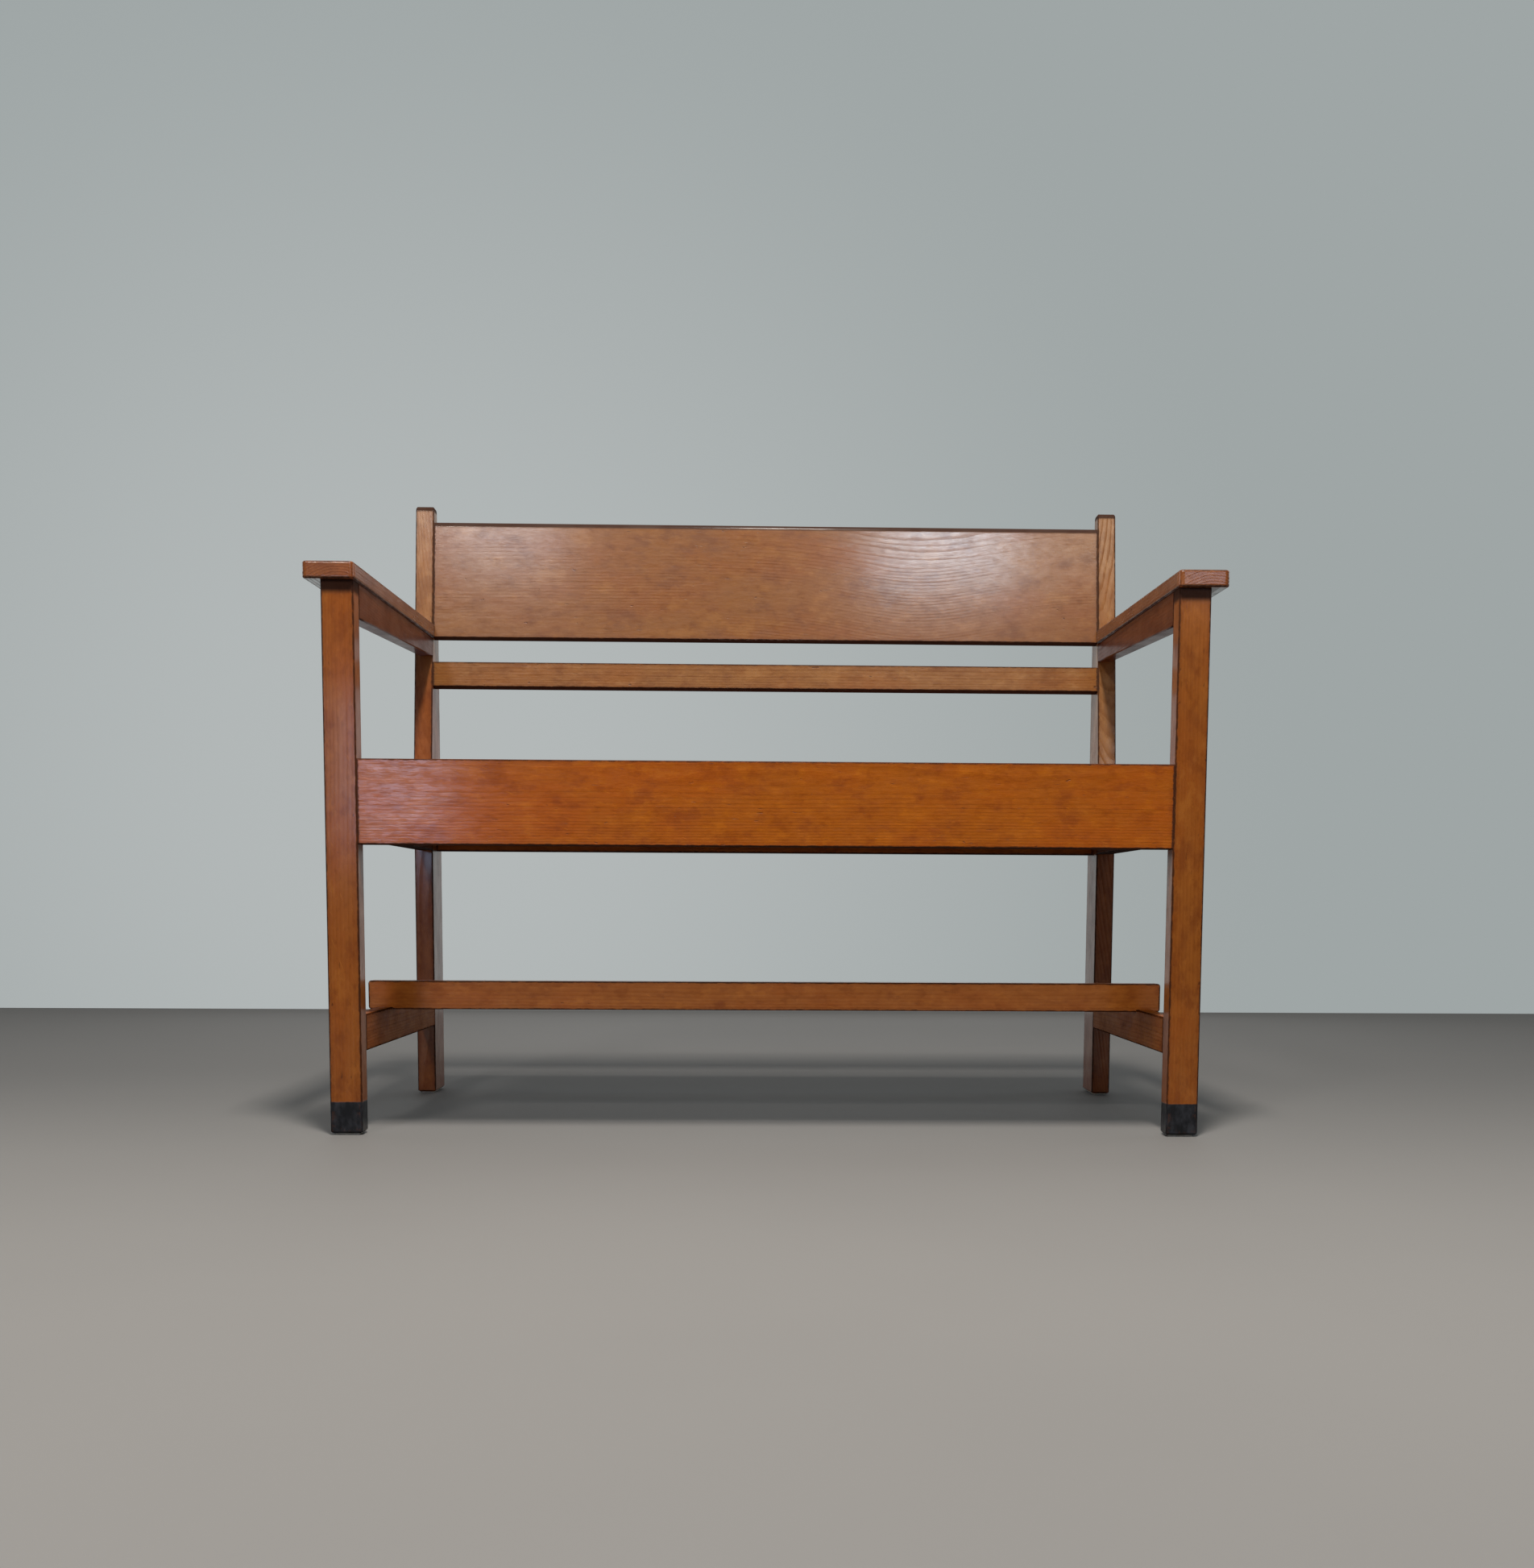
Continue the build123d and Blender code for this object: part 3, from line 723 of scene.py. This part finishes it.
def foot_band(sheet, masks, tint, coat, height):
    """Dark paint round the bottom of a leg, chipped at the edges."""
    look = finish()
    worn_paint = srgb("#34353A")
    worn_limits = (0.4, 0.7)
    worn_strength = 0.8
    uneven_edge = 0.002
    rubbed_off = 0.12
    less_coat = 0.7
    thickness = 0.8  # in depths of the relief
    z = sheet.split(object_place(sheet))[2]
    ragged = sheet.math("MULTIPLY_ADD", masks["Mottle"], uneven_edge, z)
    top = look.band_height
    painted = sheet.ramp(ragged, top, top + uneven_edge, 1.0, 0.0)
    cover = sheet.less(painted, masks["Rubbed"], rubbed_off)
    worn = sheet.ramp(masks["Mottle"], *worn_limits, 0.0, worn_strength)
    tint = sheet.mix(cover, tint, sheet.mix(worn, look.band_paint, worn_paint))
    coat = sheet.less(coat, cover, less_coat)
    height = sheet.math("MULTIPLY_ADD", cover, thickness, height)
    return tint, coat, height


def wood_material(name, pattern, lie, grain, stain, treatment):
    """Stained softwood with growth rings, flecks, patches and wear, under varnish or bare."""
    material, sheet = clear_material(name)
    place = piece_place(sheet, lie)
    masks = wood_masks(sheet, place, pattern, lie, grain, treatment.cut_back)
    tint, dark = stain_colour(sheet, place, masks, lie, grain, stain, treatment)
    rough = wood_roughness(sheet, masks, dark, treatment.varnished)
    height = relief_height(sheet, masks)
    coat = 0.0
    coat_roughness = 0.14
    specular = 0.25
    if treatment.varnished:
        coat = varnish_coat(sheet, masks, dark, grain, treatment.gloss)
        specular = 0.20 * treatment.gloss
    # Faces that look down lose their varnish and are darkened with painted shade
    if treatment.bare_below:
        tint, rough, coat = shaded_bare_underside(sheet, tint, rough, coat)
    if treatment.painted:
        tint, coat, height = foot_band(sheet, masks, tint, coat, height)
    bump = sheet.add(
        "ShaderNodeBump", {"Height": height, "Distance": finish().relief, "Strength": 1.0}
    )
    shader = sheet.add(
        "ShaderNodeBsdfPrincipled",
        {
            "Base Color": tint,
            "Roughness": rough,
            "Specular IOR Level": specular,
            "Coat Weight": coat,
            "Coat Roughness": coat_roughness,
            "Normal": bump.outputs[0],
        },
    )
    sheet.add("ShaderNodeOutputMaterial", {"Surface": shader.outputs[0]})
    return material


def dress(node, material):
    """Gives a piece of the frame its material."""
    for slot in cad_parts[node].material_slots:
        slot.material = material


def dress_wood(node, pattern, lie, grain, stain, **treatment):
    """Gives a piece of the frame a wood finish of its own."""
    dress(node, wood_material(node, pattern, lie, grain, stain, Treatment(**treatment)))


class SETTLE_OT_groups(bpy.types.Operator):
    """Make the node groups that the wood finishes share"""

    bl_idname = "settle.groups"
    bl_label = "Grain and wear groups"

    def execute(self, context):
        for make in GROUP_MAKERS:
            make()
        return {"FINISHED"}


class SETTLE_OT_legs(bpy.types.Operator):
    """Finish the front legs, with the painted bands round their feet"""

    bl_idname = "settle.legs"
    bl_label = "Front legs"

    def execute(self, context):
        look = finish()
        grain = Grain(pith_across=0.05, pith_depth=0.06, wander=0.010, contrast=0.25)
        # Painted shadow of the arms across the tops of the legs
        shade = (ALONG, look.painted_arm_shadow)
        for pattern, side in enumerate(SIDES, start=FIRST_PATTERN["legs"]):
            node = f"front_leg_{side}"
            floor_to_arm = (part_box(node)[0][2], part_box(f"arm_{side}")[0][2])
            lie = lie_of(node, UP, RIGHT, floor_to_arm)
            dress_wood(
                node, pattern, lie, grain, look.leg_stain, dark_top=shade, painted=True, gloss=0.6
            )
        return {"FINISHED"}


class SETTLE_OT_posts(bpy.types.Operator):
    """Finish the back posts, each from wood of its own and darker towards the floor"""

    bl_idname = "settle.posts"
    bl_label = "Back posts"

    def execute(self, context):
        look = finish()
        grains = {
            "left": Grain(0.03, 0.08, wander=0.012, run_off=radians(-3), contrast=0.4),
            "right": Grain(0.03, 0.08, wander=0.012, run_off=radians(9), contrast=0.7),
        }
        # Where the painted shade of the lower posts gives way to their own stain
        stain_changes = {"left": (0.14, 0.24), "right": (-0.05, 0.05)}  # above the middle
        for pattern, side in enumerate(SIDES, start=FIRST_PATTERN["posts"]):
            node = f"back_post_{side}"
            dress_wood(
                node,
                pattern,
                lie_of(node, UP, RIGHT),
                grains[side],
                look.post_stain,
                cut_back=True,
                dark_top=(ALONG, look.top_band),
                gloss=0.9,
                low_end=(look.shaded_low_post_stain, *stain_changes[side]),
            )
        return {"FINISHED"}


class SETTLE_OT_arms(bpy.types.Operator):
    """Finish the arms, worn at their front ends, and the rails under them"""

    bl_idname = "settle.arms"
    bl_label = "Arms and arm rails"

    def execute(self, context):
        look = finish()
        grain = Grain(pith_across=0.01, pith_depth=0.05, ring_share=1.2, contrast=0.45)
        worn_reach = (0.004, 0.016)  # from the front end
        for pattern, side in enumerate(SIDES, start=FIRST_PATTERN["arms"]):
            node = f"arm_{side}"
            low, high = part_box(node)
            post_front = leg_to_raked_post(high[2] - ARM_THICKNESS / 2)[1]
            flat = lie_of(node, BACK, RIGHT, (low[1], post_front))
            half = Vector((flat.half.x, ARM_THICKNESS / 2, flat.half.z))
            lie = Lie(flat.middle, ARM_BACK, RIGHT, half)
            worn_end = (look.arm_end_stain, *(reach - half.z for reach in worn_reach))
            dress_wood(node, pattern, lie, grain, look.arm_stain, gloss=1.4, low_end=worn_end)
        for pattern, side in enumerate(SIDES, start=FIRST_PATTERN["arm_rails"]):
            node = f"arm_rail_{side}"
            lie = lie_of(node, BACK, UP, leg_to_raked_post(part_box(node)[1][2]))
            dress_wood(node, pattern, lie, Grain(0.04, 0.05), look.side_stain, gloss=0.3)
        return {"FINISHED"}


class SETTLE_OT_seat_frame(bpy.types.Operator):
    """Finish the apron and the other rails round the seat"""

    bl_idname = "settle.seat_frame"
    bl_label = "Seat frame"

    def execute(self, context):
        look = finish()
        self.dress_cross_rail(
            "front_apron",
            FIRST_PATTERN["apron"],
            Grain(pith_across=0.030, pith_depth=-0.045, wander=0.011, contrast=0.32, broken=0.50),
            gloss=0.80,
        )
        self.dress_cross_rail(
            "back_seat_rail", FIRST_PATTERN["back_seat_rail"], Grain(-0.03, 0.05), gloss=1.0
        )
        for pattern, side in enumerate(SIDES, start=FIRST_PATTERN["side_seat_rails"]):
            node = f"side_seat_rail_{side}"
            lie = lie_of(node, BACK, UP, leg_to_post())
            dress_wood(
                node, pattern, lie, Grain(0.02, 0.06), look.side_stain, gloss=0.5, bare_below=True
            )
        return {"FINISHED"}

    def dress_cross_rail(self, node, pattern, grain, gloss):
        lie = lie_of(node, RIGHT, UP, inner_faces())
        dress_wood(node, pattern, lie, grain, finish().apron_stain, gloss=gloss, bare_below=True)


class SETTLE_OT_back(bpy.types.Operator):
    """Finish the back board and the narrow rail below it"""

    bl_idname = "settle.back"
    bl_label = "Back board and rail"

    def execute(self, context):
        look = finish()
        board_grain = Grain(
            pith_across=0.12,
            pith_depth=-0.050,
            ring_share=1.6,
            wander=0.012,
            dip=(0.22, 0.14, 0.030),
            contrast=0.35,
            broken=0.25,
        )
        dress_wood(
            "back_board",
            FIRST_PATTERN["back"],
            self.raked_lie("back_board"),
            board_grain,
            look.back_stain,
            dark_top=(ACROSS, look.top_band),
            gloss=1.25,
            bare_below=True,
        )
        dress_wood(
            "lower_back_rail",
            FIRST_PATTERN["back"] + 1,
            self.raked_lie("lower_back_rail"),
            Grain(pith_across=0.03, pith_depth=0.05),
            look.rail_stain,
            gloss=0.8,
            bare_below=True,
        )
        return {"FINISHED"}

    def raked_lie(self, node):
        low, high = (Vector(corner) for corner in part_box(node))
        half_span = inner_faces()[1]
        half = Vector((BACK_HEIGHTS[node] / 2, BACK_THICKNESS / 2, half_span))
        return Lie((low + high) / 2, RIGHT, RAKED_UP, half)


class SETTLE_OT_stretchers(bpy.types.Operator):
    """Finish the three stretchers"""

    bl_idname = "settle.stretchers"
    bl_label = "Stretchers"

    def execute(self, context):
        look = finish()
        node = "long_stretcher"
        grain = Grain(pith_across=0.03, pith_depth=-0.04, contrast=0.4)
        lie = lie_of(node, RIGHT, UP)
        dress_wood(node, FIRST_PATTERN[node], lie, grain, look.painted_light_stretcher_stain)
        for pattern, side in enumerate(SIDES, start=FIRST_PATTERN["side_stretchers"]):
            node = f"side_stretcher_{side}"
            lie = lie_of(node, BACK, UP, leg_to_post())
            dress_wood(node, pattern, lie, Grain(0.03, 0.05), look.leg_stain, gloss=0.05)
        return {"FINISHED"}


class SETTLE_OT_seat(bpy.types.Operator):
    """Finish the seat boards, each cut from another part of the log"""

    bl_idname = "settle.seat"
    bl_label = "Seat boards"

    def execute(self, context):
        stain = finish().seat_stain
        for pattern, number in enumerate(SEAT_BOARDS, start=FIRST_PATTERN["seat_boards"]):
            node = f"seat_board_{number}"
            pith_across = 0.02 * (number - MIDDLE_BOARD)
            pith_depth = -0.04 - 0.01 * number
            grain = Grain(pith_across, pith_depth, ring_share=1.3, wander=0.010)
            dress_wood(node, pattern, lie_of(node, RIGHT, BACK), grain, stain, bare_below=True)
        return {"FINISHED"}


class SETTLE_OT_inner_pieces(bpy.types.Operator):
    """Leave the bearers, cleats, corner blocks and dowels as bare wood"""

    bl_idname = "settle.inner_pieces"
    bl_label = "Bare inner pieces"

    def execute(self, context):
        grain_directions = {}
        for side in SIDES:
            grain_directions[f"seat_bearer_{side}"] = BACK
            grain_directions[f"seat_cleat_{side}"] = BACK
            for end in ENDS:
                grain_directions[f"corner_block_{end}_{side}"] = UP
        grain_directions["stretcher_dowels"] = UP
        pieces = enumerate(grain_directions.items(), start=FIRST_PATTERN["inner_pieces"])
        for pattern, (node, along) in pieces:
            lie = lie_of(node, along, RIGHT)
            grain = Grain(pith_across=0.02, pith_depth=0.05)
            dress_wood(node, pattern, lie, grain, finish().bare_wood, varnished=False)
        return {"FINISHED"}


class SETTLE_OT_fittings(bpy.types.Operator):
    """Finish the steel screws and the felt pads"""

    bl_idname = "settle.fittings"
    bl_label = "Screws and felt"

    def execute(self, context):
        dress("seat_screws", steel_material())
        felt = felt_material()
        for end in ENDS:
            for side in SIDES:
                dress(f"felt_glide_{end}_{side}", felt)
        return {"FINISHED"}


def steel_material():
    """Dull steel with a little rust-brown haze."""
    material, sheet = clear_material("screw_steel")
    rust = srgb("#6B4A33")
    haze_scale = (400.0, 400.0, 400.0)
    rust_limits, rust_strength = (0.5, 0.75), 0.5
    dull_limits, roughnesses = (0.3, 0.7), (0.35, 0.6)
    haze = sheet.noise(sheet.stretch(object_place(sheet), haze_scale), 3.0)[0]
    rusty = sheet.ramp(haze, *rust_limits, 0.0, rust_strength)
    tint = sheet.mix(rusty, finish().steel, rust)
    rough = sheet.ramp(haze, *dull_limits, *roughnesses)
    shader = sheet.add(
        "ShaderNodeBsdfPrincipled", {"Base Color": tint, "Roughness": rough, "Metallic": 1.0}
    )
    sheet.add("ShaderNodeOutputMaterial", {"Surface": shader.outputs[0]})
    return material


def felt_material():
    """Pressed felt with short matted hairs and a little dirt."""
    material, sheet = clear_material("glide_felt")
    between_hairs = srgb("#A59E90")
    dirty = srgb("#8B8375")
    hair_scale = (1800.0, 1800.0, 1800.0)
    dirt_scale = (120.0, 120.0, 120.0)
    hair_limits, hair_strength = (0.35, 0.65), 0.4
    dirt_limits, painted_shade_strength = (0.45, 0.7), 0.5
    hair_depth = 0.0003
    place = object_place(sheet)
    hairs = sheet.noise(sheet.stretch(place, hair_scale), 4.0, 0.7)[0]
    dirt = sheet.noise(sheet.stretch(place, dirt_scale), 3.0)[0]
    shaded = sheet.ramp(hairs, *hair_limits, 0.0, hair_strength)
    tint = sheet.mix(shaded, finish().felt, between_hairs)
    tint = sheet.mix(sheet.ramp(dirt, *dirt_limits, 0.0, painted_shade_strength), tint, dirty)
    bump = sheet.add("ShaderNodeBump", {"Height": hairs, "Distance": hair_depth})
    shader = sheet.add(
        "ShaderNodeBsdfPrincipled",
        {"Base Color": tint, "Roughness": 0.95, "Normal": bump.outputs[0]},
    )
    sheet.add("ShaderNodeOutputMaterial", {"Surface": shader.outputs[0]})
    return material


def plain_sheet(name, corners, material):
    """A flat quad of the stage."""
    mesh = bpy.data.meshes.new(name)
    mesh.from_pydata(corners, [], [range(len(corners))])
    mesh.materials.append(material)
    quad = bpy.data.objects.new(name, mesh)
    bpy.context.collection.objects.link(quad)


def floor_material(stage):
    """Matt paint with painted shade, darker towards the wall, that a camera sees through from
    below.
    """
    material, sheet = clear_material("floor_paint")
    scuffed = (0.1, 0.1, 0.1)
    painted_far_shade = (0.05, 0.05, 0.05)
    mottle_scale = (1.5, 1.5, 1.5)
    mottle_limits, mottle_strength = (0.3, 0.7), 0.08
    far_reach, far_strength = (-1.1, 0.6), 0.66
    place = object_place(sheet)
    mottle = sheet.noise(sheet.stretch(place, mottle_scale), 4.0)[0]
    scuffs = sheet.ramp(mottle, *mottle_limits, 0.0, mottle_strength)
    shade = sheet.mix(scuffs, stage.floor_colour, scuffed)
    # Painted shade, darker towards the wall
    far = sheet.ramp(sheet.split(place)[1], *far_reach, 0.0, far_strength)
    shade = sheet.mix(far, shade, painted_far_shade)
    paint = sheet.add("ShaderNodeBsdfPrincipled", {"Base Color": shade, "Roughness": 0.75})
    see_through_behind(sheet, paint)
    return material


def wall_material(stage):
    """Matt paint, shown in its own pale colour, with a painted pool of lamp light behind the
    settle.
    """
    material, sheet = clear_material("wall_paint")
    # Painted pool of lamp light, palest round a point behind the settle
    glow_middle = (-0.9, stage.stage_depth, 0.6)
    glow_reach = (0.2, 2.4)
    from_middle = sheet.vector_math("SUBTRACT", object_place(sheet), glow_middle)
    glow = sheet.ramp(sheet.vector_length(from_middle), *glow_reach, 1.0, 0.0)
    tint = sheet.mix(glow, stage.wall_colour, stage.painted_glow_colour)
    paint = sheet.add("ShaderNodeBsdfDiffuse", {"Color": tint}).outputs[0]
    rays = sheet.add("ShaderNodeLightPath").outputs
    shown = sheet.math("MAXIMUM", rays["Is Camera Ray"], rays["Is Glossy Ray"])
    shown = sheet.math("MAXIMUM", shown, rays["Is Transmission Ray"])
    plain = sheet.add("ShaderNodeEmission", {"Color": tint, "Strength": 1.0}).outputs[0]
    both = sheet.add("ShaderNodeMixShader", {0: shown, 1: paint, 2: plain})
    see_through_behind(sheet, both)
    return material


def see_through_behind(sheet, front):
    """Ends a stage material so that a camera behind it sees through it."""
    behind = sheet.add("ShaderNodeNewGeometry").outputs["Backfacing"]
    seen = sheet.add("ShaderNodeLightPath").outputs["Is Camera Ray"]
    hidden = sheet.math("MULTIPLY", behind, seen)
    clear = sheet.add("ShaderNodeBsdfTransparent").outputs[0]
    shader = sheet.add("ShaderNodeMixShader", {0: hidden, 1: front.outputs[0], 2: clear})
    sheet.add("ShaderNodeOutputMaterial", {"Surface": shader.outputs[0]})


class Lamp(NamedTuple):
    """A rectangular lamp of the stage."""

    place: tuple
    aim: tuple
    size: tuple
    tint: str
    gleam: bool = True  # whether the varnish mirrors it


SETTLE_MIDDLE = (0, 0, 0.45)
BOARD_RIGHT = (0.25, 0.2, 0.8)
BOARD_END = (0.5, 0.2, 0.8)

LAMPS = {
    "overhead": Lamp((0.05, -1.15, 3.2), SETTLE_MIDDLE, (0.30, 0.60), "#FFF7EE"),
    "left": Lamp((-1.25, -2.9, 2.8), SETTLE_MIDDLE, (0.4, 0.3), "#FFFAF4"),
    "window": Lamp((-0.95, -3.0, 2.36), (-0.4, 0, 0.75), (0.42, 0.30), "#E4F1FF"),
    "low": Lamp((-1.08, -3.0, 0.66), (-0.6, 0, 0.5), (0.28, 0.44), "#B8D6FF"),
    "end": Lamp((1.32, -3.0, 1.36), (0.5, 0, 0.65), (0.25, 0.22), "#DCE8FF"),
    "right": Lamp((0.66, -3.0, 2.36), BOARD_RIGHT, (0.50, 0.42), "#DAEEFC"),
    "side": Lamp((1.22, -3.0, 2.36), BOARD_END, (0.55, 0.35), "#F6ECDC"),
    "back": Lamp((0, 1.85, 0.72), SETTLE_MIDDLE, (2.4, 0.85), "#FFFFFF", gleam=False),
}
FILL_LAMPS = {
    "left": Lamp((-3.0, 0.9, 1.5), SETTLE_MIDDLE, (1.2, 1.2), "#FFFFFF"),
    "right": Lamp((3.0, 0.9, 1.5), SETTLE_MIDDLE, (1.2, 1.2), "#FFFFFF"),
}


def hang_lamp(name, lamp, watts):
    """Hangs a lamp that the camera doesn't see."""
    light = bpy.data.lights.new(name, "AREA")
    light.shape = "RECTANGLE"
    light.size, light.size_y = lamp.size
    light.energy = watts
    light.color = srgb(lamp.tint)
    holder = bpy.data.objects.new(name, light)
    holder.location = lamp.place
    direction = Vector(lamp.aim) - Vector(lamp.place)
    holder.rotation_euler = direction.to_track_quat("-Z", "Y").to_euler()
    holder.visible_camera = False
    holder.visible_glossy = lamp.gleam
    bpy.context.collection.objects.link(holder)


class SETTLE_OT_stage(bpy.types.Operator):
    """Lay the floor, raise the wall and set the lamps and the surroundings"""

    bl_idname = "settle.stage"
    bl_label = "Stage and lamps"

    def execute(self, context):
        stage = context.scene.settle_stage
        depth = stage.stage_depth
        reach = 7.0
        top = 5.0
        floor = [(-reach, -reach, 0), (reach, -reach, 0), (reach, depth, 0), (-reach, depth, 0)]
        wall = [(-reach, depth, 0), (reach, depth, 0), (reach, depth, top), (-reach, depth, top)]
        plain_sheet("floor", floor, floor_material(stage))
        plain_sheet("wall", wall, wall_material(stage))
        for name, lamp in LAMPS.items():
            hang_lamp(f"{name}_lamp", lamp, getattr(stage, f"{name}_power"))
        for side, lamp in FILL_LAMPS.items():
            hang_lamp(f"fill_lamp_{side}", lamp, stage.fill_power)
        self.surround(context, stage)
        return {"FINISHED"}

    def surround(self, context, stage):
        world = bpy.data.worlds.new("surroundings")
        world.use_nodes = True
        world.node_tree.nodes.clear()
        context.scene.world = world
        sheet = NodeSheet(world.node_tree)
        white = (1, 1, 1)
        ambient = sheet.add("ShaderNodeBackground", {"Color": white, "Strength": stage.ambient})
        sheet.add("ShaderNodeOutputWorld", {"Surface": ambient.outputs[0]})


class SETTLE_OT_camera(bpy.types.Operator):
    """Stand the camera in front of the settle, lower than its seat"""

    bl_idname = "settle.camera"
    bl_label = "Camera"

    def execute(self, context):
        stage = context.scene.settle_stage
        data = bpy.data.cameras.new("low_front_camera")
        data.sensor_width = 36
        data.lens = stage.camera_lens
        data.shift_x, data.shift_y = stage.camera_shift
        camera = bpy.data.objects.new("low_front_camera", data)
        upright = radians(90)
        turn = Matrix.Rotation(-stage.camera_yaw, 4, "Z")
        tilt = Matrix.Rotation(upright + stage.camera_pitch, 4, "X")
        roll = Matrix.Rotation(stage.camera_roll, 4, "Z")
        camera.matrix_world = Matrix.Translation(stage.camera_place) @ turn @ tilt @ roll
        context.collection.objects.link(camera)
        context.scene.camera = camera
        context.scene.view_settings.view_transform = "Standard"
        return {"FINISHED"}


OPERATORS = (
    SETTLE_OT_groups,
    SETTLE_OT_legs,
    SETTLE_OT_posts,
    SETTLE_OT_arms,
    SETTLE_OT_seat_frame,
    SETTLE_OT_back,
    SETTLE_OT_stretchers,
    SETTLE_OT_seat,
    SETTLE_OT_inner_pieces,
    SETTLE_OT_fittings,
    SETTLE_OT_stage,
    SETTLE_OT_camera,
)


class SETTLE_PT_sidebar(bpy.types.Panel):
    """Settings and steps of the settle, in the order in which they are used"""

    bl_idname = "SETTLE_PT_sidebar"
    bl_label = "Varnished settle"
    bl_space_type = "VIEW_3D"
    bl_region_type = "UI"
    bl_category = "Settle"

    def draw(self, context):
        for settings in (context.scene.settle_finish, context.scene.settle_stage):
            box = self.layout.box()
            for name in settings.__annotations__:
                box.prop(settings, name)
        for operator in OPERATORS:
            self.layout.operator(operator.bl_idname)


CLASSES = (SettleFinish, SettleStage, *OPERATORS, SETTLE_PT_sidebar)


def register():
    for item in CLASSES:
        bpy.utils.register_class(item)
    bpy.types.Scene.settle_finish = PointerProperty(type=SettleFinish)
    bpy.types.Scene.settle_stage = PointerProperty(type=SettleStage)


def unregister():
    del bpy.types.Scene.settle_stage
    del bpy.types.Scene.settle_finish
    for item in reversed(CLASSES):
        bpy.utils.unregister_class(item)


def main():
    register()
    for operator in OPERATORS:
        step = operator.bl_idname.split(".")[1]
        getattr(bpy.ops.settle, step)()


if __name__ == "__main__":
    main()
